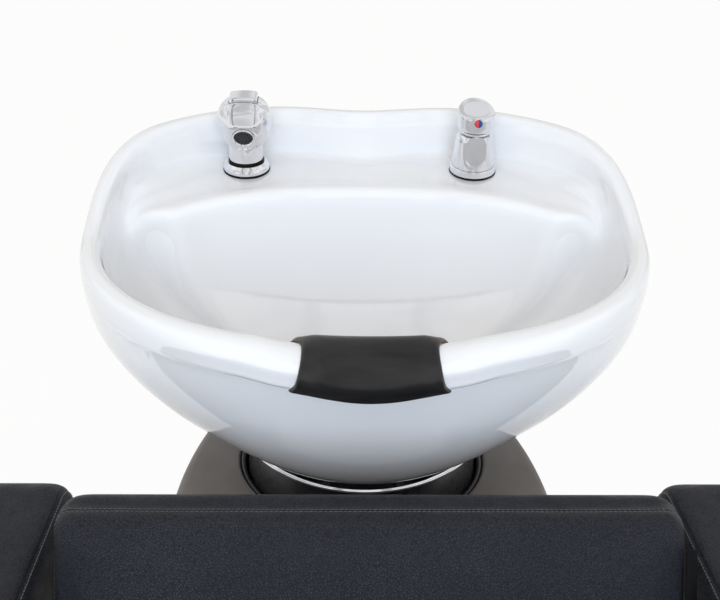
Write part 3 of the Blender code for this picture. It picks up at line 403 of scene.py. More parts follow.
def make_finishes():
    """Every finish by the name of the record's slot it stands for."""
    looks = {
        "glazed_ceramic": clouded("glaze", (0.872, 0.880, 0.894), 0.06,
            (5.0, 4, (0.860, 0.868, 0.884), (0.886, 0.893, 0.905)),
            rough=(22.0, 3, 0.045, 0.085), relief=(70.0, 2, 0.00004, 1.0),
            coat_weight=1.0, coat_roughness=0.02, coat_ior=1.65),
        "chrome_plate": clouded("bright_plating", (0.78, 0.79, 0.82), 0.04,
            (18.0, 3, (0.75, 0.76, 0.79), (0.81, 0.82, 0.85)),
            rough=(60.0, 4, 0.025, 0.075), relief=(160.0, 2, 0.00001, 1.0), metallic=1.0),
        "zinc_steel": clouded("zinc_plating", (0.55, 0.56, 0.57), 0.35,
            (90.0, 3, (0.48, 0.49, 0.50), (0.60, 0.61, 0.62)),
            rough=(300.0, 4, 0.25, 0.5), relief=(900.0, 2, 0.00003, 1.0), metallic=1.0),
        "black_painted_steel": clouded("powder_coat", (0.03, 0.03, 0.032), 0.5,
            (40.0, 4, (0.024, 0.024, 0.026), (0.038, 0.038, 0.040)),
            rough=(120.0, 3, 0.42, 0.58), relief=(1400.0, 3, 0.00008, 0.6)),
        "grey_boot_plastic": clouded("boot_plastic", (0.034, 0.034, 0.038), 0.3,
            (25.0, 4, (0.028, 0.028, 0.032), (0.042, 0.042, 0.047)),
            rough=(90.0, 3, 0.22, 0.40), relief=(1100.0, 2, 0.00005, 0.5),
            specular_ior_level=0.4),
        "black_rubber": clouded("black_rubber_skin", (0.005, 0.005, 0.005), 0.6,
            (60.0, 4, (0.004, 0.004, 0.004), (0.009, 0.009, 0.009)),
            rough=(200.0, 3, 0.45, 0.68), relief=(1500.0, 2, 0.00005, 0.5),
            specular_ior_level=0.12),
        "thread": clouded("sewing_thread", (0.105, 0.105, 0.110), 0.5,
            (500.0, 2, (0.080, 0.080, 0.084), (0.135, 0.135, 0.142)),
            relief=(3000.0, 2, 0.0001, 0.6),
            sheen_weight=0.3),
        "white_nylon": clouded("nylon_bush", (0.75, 0.75, 0.73), 0.45,
            (80.0, 3, (0.70, 0.70, 0.68), (0.79, 0.79, 0.77)),
            relief=(1200.0, 2, 0.00003, 0.5)),
        "dark_plastic": clouded("dark_moulding", (0.02, 0.02, 0.022), 0.4,
            (90.0, 3, (0.016, 0.016, 0.018), (0.030, 0.030, 0.033)),
            rough=(260.0, 3, 0.32, 0.5), relief=(1500.0, 2, 0.00004, 0.5)),
        "grey_cartridge": clouded("cartridge_plastic", (0.35, 0.36, 0.38), 0.5,
            (120.0, 3, (0.31, 0.32, 0.34), (0.39, 0.40, 0.42)))}

    shell = Finish("moulded_shell", (0.205, 0.191, 0.184), 0.5, specular_ior_level=0.3)
    broad = shell.noise(9.0, 6, (1.0, 0.55, 1.0), 0.6)
    shell.feed("Base Color", shell.ramp(broad, (0.172, 0.160, 0.154), (0.240, 0.224, 0.216)))
    shell.feed("Roughness", shell.ramp(shell.noise(35.0, 5), 0.44, 0.62))
    shell.bump(shell.noise(1300.0, 3), 0.00010, 0.55)
    shell.bump(shell.noise(30.0, 2), 0.00025, 0.3)
    looks["grey_moulding"] = shell

    gel = Finish("gel_skin", (0.016, 0.0155, 0.016), 0.3, specular_ior_level=0.32)
    # Brown at the thin upper edges (the rim attribute): partly the gel's own thin-edge colour, partly painted
    # light shining through it from above.
    rim = gel.node("ShaderNodeAttribute", attribute_name="rim").outputs["Fac"]
    # Stretched streaks in the colour: partly uneven tone, partly painted sheen, lighter where the same noise
    # makes the gel glossier.
    streak = gel.noise(30.0, 5, (0.35, 1.0, 1.0), 0.4)
    body = gel.ramp(streak, (0.0075, 0.0073, 0.0076), (0.028, 0.0265, 0.0265), 0.35, 0.72)
    body_and_lit_edges = gel.node("ShaderNodeMix", (0, rim), (6, body), (7, (0.200, 0.150, 0.116, 1.0)),
                     data_type="RGBA")
    gel.feed("Base Color", body_and_lit_edges.outputs[2])
    gel.feed("Roughness", gel.ramp(streak, 0.34, 0.24))
    gel.bump(gel.noise(20.0, 1, (0.5, 1.4, 1.4)), 0.0016, 0.5)
    gel.bump(gel.noise(260.0, 2), 0.00008, 0.5)
    looks["black_gel"] = gel

    vinyl = Finish("grained_vinyl", (0.021, 0.0230, 0.0290), 0.5, specular_ior_level=0.14)
    pebble = vinyl.ramp(vinyl.cells(470.0), 0.0, 1.0, 0.0, 0.26)
    broad = vinyl.ramp(vinyl.noise(14.0, 4), (0.0255, 0.0275, 0.0350), (0.0350, 0.0378, 0.0475))
    # Darker colour where the pebbles meet: painted shade in the grooves of the grain.
    groove_shade = vinyl.ramp(pebble, (0.0105, 0.0112, 0.0142), (0.0130, 0.0140, 0.0178))
    grain_and_groove_shade = vinyl.node("ShaderNodeMix", (0, pebble), (6, groove_shade), (7, broad), data_type="RGBA")
    vinyl.feed("Base Color", grain_and_groove_shade.outputs[2])
    vinyl.feed("Roughness", vinyl.ramp(vinyl.noise(55.0, 4), 0.42, 0.56))
    vinyl.bump(vinyl.noise(38.0, 3), 0.0006, 0.25)
    vinyl.bump(pebble, 0.00030, 0.9)
    vinyl.bump(vinyl.noise(2600.0, 2), 0.00003, 0.5)
    looks["black_vinyl"] = vinyl

    board = Finish("birch_board", (0.45, 0.32, 0.19), 0.65)
    streak = board.noise(14.0, 6, (0.3, 6.0, 6.0), 1.2)
    board.feed("Base Color", board.ramp(streak, (0.36, 0.24, 0.13), (0.53, 0.39, 0.24)))
    board.feed("Roughness", board.ramp(streak, 0.55, 0.75))
    board.bump(streak, 0.0002, 0.4)
    looks["plywood"] = board

    brass = Finish("turned_brass", (0.72, 0.55, 0.25), 0.3, 1.0)
    brass.feed("Roughness", brass.ramp(brass.noise(200.0, 3, (1.0, 1.0, 8.0)), 0.2, 0.42))
    brass.feed("Base Color", brass.ramp(brass.noise(50.0, 3), (0.62, 0.45, 0.19), (0.76, 0.59, 0.29)))
    looks["brass"] = brass

    for slot, name, low, high in (("red_plastic", "hot_mark", (0.62, 0.035, 0.02), (0.70, 0.05, 0.03)),
                                  ("blue_plastic", "cold_mark", (0.010, 0.045, 0.22),
                                   (0.014, 0.065, 0.30))):
        looks[slot] = clouded(name, high, 0.25, (400.0, 2, low, high))

    tape = Finish("woven_tape", (0.008, 0.008, 0.009), 0.8, specular_ior_level=0.15)
    warp, weft = (tape.node("ShaderNodeTexWave", ("Vector", tape.place), ("Scale", 420.0),
                            bands_direction=way).outputs[0] for way in "XZ")
    weave = worked(tape.tree, "MULTIPLY", warp, weft)
    tape.feed("Base Color", tape.ramp(weave, (0.005, 0.005, 0.006), (0.011, 0.011, 0.012), 0.1, 0.9))
    tape.bump(weave, 0.0002, 0.7)
    looks["black_tape"] = tape
    return looks


LOOKS = make_finishes()


def box_of(node):
    """Lowest and highest corner of a solid."""
    return [np.array(corner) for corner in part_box(node)]


def dress(thing, body, look, *nodes, slot=None):
    """Give a piece its finish, the body it rides on, and the solids it stands for."""
    thing.data.materials.clear()
    thing.data.materials.append(LOOKS[look].made)
    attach(thing, body)
    if nodes:
        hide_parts(*nodes)
    return thing


def turned(name, profile, count, look, node, place=(0.0, 0.0, 0.0)):
    """Turned ring on the basin: a closed (radius, height) profile spun about a point of the basin frame."""
    dress(tube_grid(name, in_basin(spun(profile, count, place)), True), "basin", look, node)


# Basin


def egg(turn, half, back, front, centre_y, power_back, power_front):
    """Plan outline: two half superellipses that meet at the widest line."""
    cosine, sine = np.cos(turn), np.sin(turn)
    power = np.where(sine > 0, power_back, power_front)
    reach = np.where(sine > 0, back, front)
    x = half * np.sign(cosine) * np.abs(cosine) ** (2 / power)
    y = centre_y + reach * np.sign(sine) * np.abs(sine) ** (2 / power)
    return x, y


def rim_height(x, y):
    """Level in front, an S-shaped rise behind the taps, a shallow notch for the neck."""
    notch = NECK_NOTCH * (1 - soft_step(np.abs(x), 0.078, 0.120)) * (np.asarray(y) < 0)
    return RIM_Z + BACK_RISE * soft_step(y, 0.0, 0.88 * BASIN_BACK) - notch


def push(line, distance):
    """Move plan points away from the basin's middle."""
    x, y = line
    length = np.hypot(x, y - RIM_CENTRE_Y)
    return x + x / length * distance, y + (y - RIM_CENTRE_Y) / length * distance


def blend(first, second, share):
    """Straight mix of two plan lines."""
    return first[0] + (second[0] - first[0]) * share, first[1] + (second[1] - first[1]) * share


def basin_lines(turn):
    """Plan lines of the basin: outer and inner rim, deck, bowl edge, and how far the front lip folds."""
    turn = np.asarray(turn, float)
    out_x, out_y = egg(turn, HALF_BASIN, BASIN_BACK, BASIN_FRONT, RIM_CENTRE_Y, *PLAN_POWER)
    dip = BACK_DIP * np.exp(-(out_x / 0.08) ** 2) * soft_step(np.sin(turn), 0.2, 0.8)
    in_x, in_y = egg(turn, HALF_BASIN - RIM_BAND, BASIN_BACK - 0.0195, BASIN_FRONT - 0.023, RIM_CENTRE_Y,
                     *PLAN_POWER)
    shelf_x, shelf_y = egg(turn, HALF_BASIN - 0.050, BASIN_BACK - 0.0275, BASIN_FRONT - 0.047, RIM_CENTRE_Y,
                           2.4, 2.3)
    deck = soft_step(np.sin(turn), 0.04, 0.60)
    side = push((in_x, in_y - dip), -0.0150)
    edge = blend(side, egg(turn, HALF_BASIN - 0.059, 0.56 * BASIN_BACK, 0.64 * BASIN_FRONT, 0.0, 2.2, 2.3),
                 deck)
    front = np.abs((turn - 1.5 * math.pi + math.pi) % (2 * math.pi) - math.pi)
    window = np.cos(0.5 * math.pi * np.clip(front / 0.95, 0, 1)) ** 2
    nose = np.exp(-(out_x / 0.055) ** 2) * (np.sin(turn) < 0)
    return {"out": (out_x, out_y - dip), "in": (in_x, in_y - dip), "edge": edge, "deck": deck,
            "fold": window, "shelf": blend(side, (shelf_x, shelf_y - dip), deck),
            "lip": 0.013 * window + 0.009 * nose, "drop": 0.034 - 0.004 * window + 0.005 * nose,
            "tuck": 0.010 * window + 0.0015 * soft_step(window, 0.040, 0.140)}


def lip_stations(turn):
    """Rows over the rim, from the inner wall across the crest to under the folded lip."""
    lines = basin_lines(turn)
    rim = rim_height(*lines["out"])
    drop = lines["drop"]
    outer = push(lines["out"], lines["lip"])
    top = push(lines["out"], 0.55 * lines["lip"] - 0.0035)
    crest = blend(lines["in"], top, 0.5)
    return [stack(push(lines["in"], -0.0025 - 0.0020 * lines["deck"]), rim - 0.016),
            stack(lines["in"], rim - 0.0050), stack(blend(lines["in"], crest, 0.45), rim - 0.0008),
            stack(crest, rim), stack(top, rim - 0.0015 - 0.05 * drop),
            stack(push(outer, -0.0008), rim - 0.35 * drop), stack(outer, rim - 0.75 * drop),
            stack(push(outer, -0.0004 - 0.145 * lines["tuck"]), rim - drop)]


def skirt_row(lines, turn, share, inward):
    """Outer shell: spread falls as a power of a cosine, fuller in front, while the height falls as a sine."""
    start = push(lines["out"], -lines["tuck"] - 0.001 - inward)
    top = rim_height(*lines["out"]) - lines["drop"] - 0.0032
    foot = circle(FOOT_RADIUS - inward, turn)
    spread = np.cos(0.5 * math.pi * share) ** (1.8 - 0.7 * lines["fold"])
    return stack(blend(foot, start, spread), top + (FOOT_Z - top) * np.sin(0.5 * math.pi * share))


def bowl_row(lines, turn, share, outward, lower):
    """Bowl: a near-elliptic section between the edge of the deck and the drain."""
    start = push(lines["edge"], outward)
    deck = lines["deck"]
    top = DECK_Z * deck + (rim_height(*lines["out"]) - 0.064) * (1 - deck)
    foot = circle(DRAIN_RADIUS + 0.0125, turn)
    spread = np.cos(0.5 * math.pi * share) ** 0.78 - 0.28 * (1 - deck) * share * (1 - share) ** 2
    rise = 1 - np.sin(0.5 * math.pi * share) ** 0.90
    return stack(blend(foot, start, spread), BOWL_FLOOR_Z + (top - BOWL_FLOOR_Z) * rise - lower)


def make_basin():
    """Ceramic basin: one section, faired by a spline from drain to foot, carried round the plan lines."""
    even = np.arange(BASIN_COLUMNS) * 2 * math.pi / BASIN_COLUMNS
    turn = even - FRONT_CROWDING * np.cos(even)
    lines = basin_lines(turn)
    rim = rim_height(*lines["out"])
    deck = lines["deck"]
    start = push(lines["in"], -0.0025 - 0.0020 * deck)
    edge_z = DECK_Z * deck + (rim - 0.058) * (1 - deck)
    shelf_z = DECK_Z * deck + (rim - 0.042) * (1 - deck)
    wall_z = (0.86 * DECK_Z + 0.14 * (rim - 0.016)) * deck + (rim - 0.028) * (1 - deck)
    shares = (1.0, 0.93, 0.84, 0.74, 0.63, 0.52, 0.41, 0.30, 0.19, 0.08)
    rows = [bowl_row(lines, turn, s, 0, 0) for s in shares]
    brink = stack(push(lines["edge"], 0.006 * deck + 0.0022 * (1 - deck)), edge_z)
    heel = stack(blend(start, lines["shelf"], deck + 0.478 * (1 - deck)), shelf_z)
    rows += [brink, 0.72 * brink + 0.28 * heel, 0.30 * brink + 0.70 * heel, heel]
    rows.append(stack(blend(start, lines["shelf"], 0.42 * deck + 0.20 * (1 - deck)), wall_z))
    lip = lip_stations(turn)
    brow = stack(push(push(lines["out"], lines["lip"]), -0.0003), rim - 0.92 * lines["drop"])
    line = soft_step(lines["fold"], 0.060, 0.160)
    groove = stack(push(lines["out"], -0.0007 - (lines["tuck"] + 0.0035) * line),
                   rim - lines["drop"] - 0.0010 - 0.0012 * line)
    rows += lip[:-1] + [brow, lip[-1], groove]
    fold = len(rows) - 2
    rows += [skirt_row(lines, turn, s, 0) for s in (0, 0.10, 0.22, 0.36, 0.50, 0.64, 0.78, 0.90)]
    rows.append(stack(circle(FOOT_RADIUS, turn), FOOT_Z))
    whole = fair_curve(rows, SPAN_STEPS)
    creased = np.concatenate([fair_curve(rows[:fold + 1], SPAN_STEPS)[:-1],
                              fair_curve(rows[fold:fold + 3], SPAN_STEPS)[:-1],
                              fair_curve(rows[fold + 2:], SPAN_STEPS)])
    crisp = soft_step(lines["fold"], 0.040, 0.120)[None, :, None]
    seen = creased * crisp + whole * (1 - crisp)
    rest = [stack(circle(FOOT_RADIUS - CERAMIC, turn), FOOT_Z)]
    rest += [skirt_row(lines, turn, s, CERAMIC) for s in (0.86, 0.62, 0.36, 0.12)]
    rest.append(stack(blend(lines["in"], lines["out"], 0.15), rim - 0.030))
    rest.append(stack(push(lines["shelf"], 0.006 + 0.003 * (1 - deck)),
                      (DECK_Z - CERAMIC) * deck + (rim - 0.052) * (1 - deck)))
    rest.append(stack(push(lines["edge"], CERAMIC), (DECK_Z - CERAMIC) * deck + (rim - 0.072) * (1 - deck)))
    rest += [bowl_row(lines, turn, s, CERAMIC * 0.8, CERAMIC) for s in (0.32, 0.62, 0.84)]
    throat, recess = circle(DRAIN_RADIUS, turn), circle(DRAIN_RADIUS + 0.0118, turn)
    rest += [stack(throat, BOWL_FLOOR_Z - 0.014), stack(throat, BOWL_FLOOR_Z - DRAIN_RECESS),
             stack(recess, BOWL_FLOOR_Z - DRAIN_RECESS)]
    grid = in_basin(np.concatenate([seen, np.array(rest)]))
    dress(tube_grid("ceramic_basin", grid, True), "basin", "glazed_ceramic", "basin_bowl")


def make_neck_rest():
    """Gel saddle: a sheet laid over the lip, thick in the middle, its edge rounded by a quarter ellipse."""
    rows, cols = 61, 121
    fine = np.linspace(-0.62, 0.62, 401)
    sheet = fair_curve(lip_stations(1.5 * math.pi + fine), 16)
    down = (1 - np.cos(np.linspace(0, math.pi, rows))) / 2
    across = np.sin(np.linspace(-1, 1, cols) * math.pi / 2)
    level = down * (len(sheet) - 1)
    base = np.empty((rows, cols, 3))
    low = np.minimum(level.astype(int), len(sheet) - 2)
    part = (level - low)[:, None, None]
    lined = sheet[low] * (1 - part) + sheet[low + 1] * part
    waist = 0.062 + np.where(down < 0.5, 0.018, 0.011) * (2 * down - 1) ** 2
    for row in range(rows):
        for axis in range(3):
            base[row, :, axis] = np.interp(across * waist[row], lined[row, :, 0], lined[row, :, axis])
    normal = np.cross(np.gradient(base, axis=1), np.gradient(base, axis=0))
    normal /= np.linalg.norm(normal, axis=2, keepdims=True)
    normal *= np.sign(normal[rows // 2, cols // 2, 2])
    edge = np.minimum(waist[:, None] * (1 - np.abs(across))[None, :],
                      0.085 * np.minimum(down, 1 - down)[:, None])
    round_off = np.sqrt(1 - (1 - np.clip(edge / 0.0045, 0, 1)) ** 2)
    thick = (0.0042 + 0.0032 * soft_step(edge, 0.0, 0.022)) * round_off
    upper = base + normal * (0.0012 + thick)[..., None]
    lower = base + normal * 0.0010
    grid = np.concatenate([upper.reshape(-1, 3), lower.reshape(-1, 3)])
    top = quads(rows, cols, False, False)
    n = rows * cols
    border = np.concatenate([np.arange(cols), np.arange(1, rows) * cols + cols - 1,
                             (rows - 1) * cols + np.arange(cols - 2, -1, -1),
                             np.arange(rows - 2, 0, -1) * cols])
    after = np.roll(border, -1)
    sides = np.column_stack([border, after, after + n, border + n])
    pad = solid("neck_saddle", in_basin(grid), np.concatenate([top, top[:, ::-1] + n, sides]))
    # Rim weight: brown at the thin edges of the upper half only; partly thin-edge colour, partly painted
    # light shining through from above.
    tint = 0.8 * (1 - soft_step(edge, 0.001, 0.012)) * (1 - soft_step(down, 0.05, 0.5))[:, None]
    layer = pad.data.attributes.new("rim", "FLOAT", "POINT")
    layer.data.foreach_set("value", np.concatenate([tint.ravel(), np.ones(n)]).astype(np.float32))
    dress(pad, "basin", "black_gel", "neck_rest")


def make_foot():
    """Chrome ring, boot, waste and strainer: turned profiles on the basin's own axis."""
    top = FOOT_Z - FIT
    low = top - 0.012
    ring = eased([(0.116, low), (FOOT_RADIUS + 0.0030, low), (FOOT_RADIUS + 0.0058, low + 0.0010),
                  (FOOT_RADIUS + 0.0062, low + 0.0030), (FOOT_RADIUS + 0.0034, low + 0.0050),
                  (FOOT_RADIUS + 0.0024, top - 0.0010), (FOOT_RADIUS + 0.0016, top), (0.116, top)], 0.0014,
                 6)
    turned("foot_band", ring, 240, "chrome_plate", "foot_ring")
    turn = np.linspace(math.radians(-20), math.asin((low - 0.0096) / BOOT_RADIUS), 40)[:, None]
    ball = np.column_stack([np.cos(turn), np.sin(turn)])
    flange = eased([(0.130, low - 0.0028), (0.130, low - FIT), (0.1155, low - FIT)], 0.001, 4, False)
    inside = ball[::-1] * (BOOT_RADIUS - 0.003)
    inside[0, 0] = 0.1155
    skin = np.concatenate([ball * BOOT_RADIUS, flange, inside])
    turned("ball_boot", skin, 200, "grey_boot_plastic", "tilt_boot")
    seat = BOWL_FLOOR_Z - DRAIN_RECESS + WASTE_SEAL
    waste = eased([(0.0170, -0.060), (0.0195, -0.060), (0.0195, seat), (0.0345, seat),
                   (0.0345, seat + 0.0030), (0.0305, seat + 0.0045), (0.0280, seat + 0.0045),
                   (0.0262, seat + 0.0012), (0.0170, seat + 0.0012)], 0.0009, 5)
    turned("waste_fitting", waste, 120, "chrome_plate", "waste_body")
    make_strainer(seat)


def make_strainer(seat):
    """Hair strainer: a turned dome with two rings of round-ended slots left open, and a knob."""
    shape = flowing([(0.0008, 0.0160), (0.0036, 0.0158), (0.0055, 0.0145), (0.0041, 0.0122),
                     (0.0042, 0.0098), (0.0075, 0.0084), (0.0140, 0.0077), (0.0200, 0.0066),
                     (0.0246, 0.0050), (0.0256, 0.0038), (0.0250, 0.0018)], 9)
    count = 144
    outer = spun(shape, count)
    under = shape + np.column_stack([np.where(shape[:, 0] > 0.0075, -0.0004, 0.0),
                                     np.full(len(shape), -0.0011)])
    under[:, 0] = np.maximum(under[:, 0], 0.0008)
    under[:, 1] = np.minimum(under[:, 1], np.where(shape[:, 0] < 0.0076, 0.0074, under[:, 1]))
    rows = len(shape)
    grid = np.concatenate([outer, spun(under, count)])
    radius = shape[:-1, 0] * 0.5 + shape[1:, 0] * 0.5
    sector = (np.arange(count) + 0.5) / count
    hole = np.zeros((rows - 1, count), bool)
    for inner, outside, slots, shift in ((0.0092, 0.0142, 8, 0.0), (0.0162, 0.0212, 12, 0.5)):
        ring = (radius > inner) & (radius < outside) & (shape[:-1, 1] < 0.0085)
        hole |= ring[:, None] & (np.abs((sector * slots + shift) % 1 - 0.5) < 0.26)[None, :]
    top = quads(rows, count, False, True)
    n = rows * count
    here = ~hole
    above, below = np.pad(here, ((1, 0), (0, 0)))[:-1], np.pad(here, ((0, 1), (0, 0)))[1:]
    walls = []
    for beside, (r1, c1), (r2, c2) in ((above, (0, 1), (0, 0)), (below, (1, 0), (1, 1)),
                                       (np.roll(here, 1, 1), (0, 0), (1, 0)),
                                       (np.roll(here, -1, 1), (1, 1), (0, 1))):
        r, c = np.nonzero(here & ~beside)
        first, second = (r + r1) * count + (c + c1) % count, (r + r2) * count + (c + c2) % count
        walls.append(np.column_stack([first, second, second + n, first + n]))
    keep = here.ravel()
    faces = np.concatenate([top[keep], top[keep][:, ::-1] + n] + walls)
    grid[..., 2] += seat
    used = np.unique(faces)
    number = np.full(2 * n, -1)
    number[used] = np.arange(len(used))
    thing = solid("strainer_dome", in_basin(grid.reshape(-1, 3)[used]), number[faces])
    dress(thing, "strainer", "chrome_plate", "hair_strainer")


def make_gasket(name, node, place):
    """Black seal under a tap flange."""
    inner, outer, top = 0.0175, TAP_FLANGE + 0.0005, 0.0020
    ring = eased([(inner, FIT), (outer, FIT), (outer, top), (inner, top)], 0.0004)
    turned(name, ring, 120, "black_rubber", node, place)


def make_mixer():
    """Single-lever mixer: turned body with a sunk tongue-shaped flat in front, capped by a lever."""
    place = (MIXER_X, TAP_Y, DECK_Z)
    make_gasket("mixer_seal", "mixer_gasket", place)
    body = np.concatenate([eased([(0.0090, -0.050), (0.0165, -0.050), (0.0165, 0.0023), (TAP_FLANGE, 0.0023),
                                  (TAP_FLANGE, 0.0088), (0.0264, 0.0100), (0.0238, 0.0102), (0.0238, 0.0110),
                                  (0.0249, 0.0114)], 0.0004, 5, False),
                           flowing([(0.0246, 0.0150), (0.0236, 0.0270), (0.0224, 0.0400), (0.0212, 0.0465),
                                    (0.0196, 0.0500)], 14),
                           [(0.0172, 0.0508), (0.0172, 0.0240), (0.0090, 0.0240)]])
    grid = spun(body, 240)
    fall = np.clip((0.0260 - grid[..., 2]) / 0.0105, 0, 1)
    half = 0.0118 * np.sqrt(1 - fall ** 2)
    inside = soft_step(half - np.abs(grid[..., 0]), -0.0002, 0.0006) * (grid[..., 2] > 0.0125)
    flat = 0.0216 - 0.104 * (grid[..., 2] - 0.0150)
    sunk = np.where(np.hypot(grid[..., 0], grid[..., 1]) > 0.0180, np.maximum(-grid[..., 1] - flat, 0), 0)
    grid[..., 1] += sunk * inside
    dress(tube_grid("mixer_column", in_basin(grid + place), True), "basin", "chrome_plate", "mixer_body")
    collar = eased([(0.0172, 0.0513), (0.0178, 0.0511), (0.0176, 0.0530), (0.0160, 0.0548),
                    (0.0130, 0.0552), (0.0125, 0.0525), (0.0172, 0.0520)], 0.0005)
    turned("mixer_collar", collar, 96, "chrome_plate", "mixer_bonnet", place)
    make_handle(np.array(place) + (0.0, 0.0, LEVER_Z))


def settle(thing, place):
    """Move a piece shaped about its own middle to its place in the basin frame, then to the world."""
    reshape(thing, in_basin(grid_of(thing) + place))
    return thing


def make_handle(place):
    """Lever: an egg outline, drawn out behind, with a flat bevelled top and a rising underside."""
    turn = np.arange(LEVER_COLUMNS) * 2 * math.pi / LEVER_COLUMNS
    plan = np.column_stack([LEVER_RADIUS * np.cos(turn),
                            np.where(np.sin(turn) < 0, LEVER_RADIUS, LEVER_REACH) * np.sin(turn)])

    def ring(share, level, lift):
        spots = plan * share
        under = -0.0015 + 0.0150 * soft_step(spots[:, 1], 0.006, 0.032)
        above = 0.0166 + 0.0045 * (spots[:, 1] + LEVER_RADIUS) / (LEVER_RADIUS + LEVER_REACH)
        return np.column_stack([spots, under + (above - under) * level + lift])

    rows = [ring(share, 0, lift) for share, lift in ((0.02, 0), (0.4, 0), (0.8, 0), (0.97, 0),
                                                     (0.99, 0.0002), (1.0, 0.0008))]
    rows += [ring(1.0, level, 0) for level in (0.3, 0.5, 0.7)]
    rows += [ring(share, 1, lift) for share, lift in ((1.0, -0.0026), (0.996, -0.0019), (0.985, -0.0013),
                                                      (0.930, -0.0001), (0.920, 0), (0.6, 0), (0.3, 0),
                                                      (0.02, 0))]
    cap = tube_grid("lever_handle", np.array(rows))
    carve(cap, tube_grid("hollow", spun([(0.0192, -0.010), (0.0192, 0.0010)], 96)))
    carve(cap, tube_grid("socket", spun([(0.0084, -0.010), (0.0084, 0.0050)], 48)))
    dress(settle(cap, place), "handle", "chrome_plate", "mixer_handle")
    turn = np.linspace(-math.pi / 2, math.pi / 2, 25)
    for sign, node, look in ((-1, "indicator_hot", "red_plastic"), (1, "indicator_cold", "blue_plastic")):
        radius = np.array([0.0046, 0.0046, 0.0041, 0.0025])
        depth = np.array([0.0004, -0.0012, -0.0017, -0.0021])
        flat = np.stack([sign * (0.00004 + radius[:, None] * np.cos(turn)), radius[:, None] * np.sin(turn)],
                        -1)
        spots = np.empty((4, 25, 3))
        spots[..., 0], spots[..., 2], spots[..., 1] = flat[..., 0], flat[..., 1], depth[:, None]
        spots = turned_about_x(spots, math.radians(-10)) + (0.0, -0.0214, 0.0116)
        half_dot = tube_grid("dot_" + node[10:], spots)
        dress(settle(half_dot, place), "handle", look, node)


def make_shower():
    """Hand shower: a turned neck and ball, trimmed to flats in front, with a nozzle plate and a button."""
    place = (SHOWER_X, TAP_Y, DECK_Z)
    make_gasket("holder_seal", "holder_gasket", place)
    base = np.concatenate([eased([(0.0150, -0.058), (0.0168, -0.058), (0.0168, 0.0023), (TAP_FLANGE, 0.0023),
                                  (TAP_FLANGE, 0.0058)], 0.0008, 5, False),
                           flowing([(0.0268, 0.0070), (0.0252, 0.0092), (0.0236, 0.0105), (0.0222, 0.0118)],
                                   5), [(0.0150, 0.0118)]])
    turned("holder_base", base, 140, "chrome_plate", "holder_flange", place)
    # Black rubber ring between flange and neck: a seal, kept thin so that its dark line also stands for
    # painted shade in the gap there.
    ring = eased([(0.0150, 0.0121), (0.0207, 0.0121), (0.0209, 0.0136), (0.0205, 0.0150), (0.0150, 0.0150)],
                 0.0006)
    turned("holder_seal_gap_shade", ring, 120, "black_rubber", "holder_ring", place)
    shape = np.concatenate([eased([(0.0060, -0.0480), (0.0143, -0.0480), (0.0143, 0.0153), (0.0200, 0.0153),
                                   (0.0200, 0.0320)], 0.0008, 5, False),
                            flowing([(0.0202, 0.0338), (0.0222, 0.0368), (0.0256, 0.0410), (0.0298, 0.0498),
                                     (0.0317, SHOWER_BALL_Z), (0.0309, 0.0710), (0.0275, 0.0800),
                                     (0.0215, 0.0864), (0.0130, 0.0900), (0.0010, 0.0908)], 7)])
    grid = spun(shape, 180)
    head = np.array([0.0, 0.0, SHOWER_BALL_Z])
    arm = grid - head
    for normal, distance in (((0.0, -0.940, -0.342), 0.0264), ((0.0, -0.940, 0.340), 0.0292),
                             ((0.0, -0.690, 0.724), 0.0302)):
        along = arm @ np.array(normal)
        ratio = distance / np.maximum(along, 1e-6)
        scale = np.where(along > 0, -TRIM_EASE * np.logaddexp(-ratio / TRIM_EASE, -1 / TRIM_EASE), 1.0)
        arm = arm * np.where(grid[..., 2:3] > 0.0340, np.minimum(scale, 1.0)[..., None], 1.0)
    body = tube_grid("shower_head", arm + head)
    well = block("well", 0.0168, 0.0128, 0.004, 0.0790, 0.1125, 0.0002)
    carve(body, well)
    mouth = tube_grid("mouth", spun([(0.0130, 0.0235), (0.0130, 0.0400)], 72))
    aim = Matrix.Translation(Vector(head)) @ Matrix.Rotation(SHOWER_AIM, 4, "X")
    mouth.data.transform(aim)
    carve(body, mouth)
    dress(settle(body, place), "handset", "chrome_plate", "handset_body")
    plate = eased([(0.0006, 0.0238), (0.0098, 0.0238), (0.0098, 0.0272), (0.0088, 0.0280),
                   (0.0006, 0.0284)], 0.0006, 4, False)
    bezel = eased([(0.0100, 0.0238), (0.0127, 0.0238), (0.0127, 0.0286), (0.0118, 0.0292),
                   (0.0100, 0.0274)], 0.0006)
    for name, profile, count, loop, look, nodes in (
            ("nozzle_plate", plate, 72, False, "dark_plastic", ["spray_face"]),
            ("nozzle_bezel", bezel, 96, True, "chrome_plate", [])):
        piece = tube_grid(name, spun(profile, count), loop)
        piece.data.transform(aim)
        dress(settle(piece, place), "handset", look, *nodes)
    make_nozzles(aim, place)
    button = block("thumb_button", 0.0162, 0.0122, 0.0038, 0.0826, 0.0930, 0.0016,
                   lambda x, y: 0.0018 * (1 - (x / 0.0163) ** 2))
    dress(settle(button, place), "button", "chrome_plate", "spray_button")


def make_nozzles(aim, place):
    """Spray nubs: small domes in two rings and one in the middle, each a short turned profile."""
    ring = np.array([(0.0, 0.0)] + [(0.0038, k / 6) for k in range(6)]
                    + [(0.0071, (k + 0.5) / 12) for k in range(12)])
    centres = stack(circle(ring[:, 0], 2 * math.pi * ring[:, 1]), 0.0)
    nub = spun([(0.00075, 0.0276), (0.00070, 0.0287), (0.00040, 0.0290)], 10)
    grid = nub[None] + centres[:, None, None, :]
    per = nub.shape[0] * nub.shape[1]
    start = np.arange(len(centres))[:, None] * per
    faces = (quads(3, 10, False, True)[None] + start[..., None]).reshape(-1, 4)
    caps = [np.arange(10)[::-1] + k for k in start[:, 0]] + [np.arange(10) + k + 20 for k in start[:, 0]]
    nubs = solid("spray_nubs", grid, faces, caps)
    nubs.data.transform(aim)
    dress(settle(nubs, place), "handset", "black_rubber")


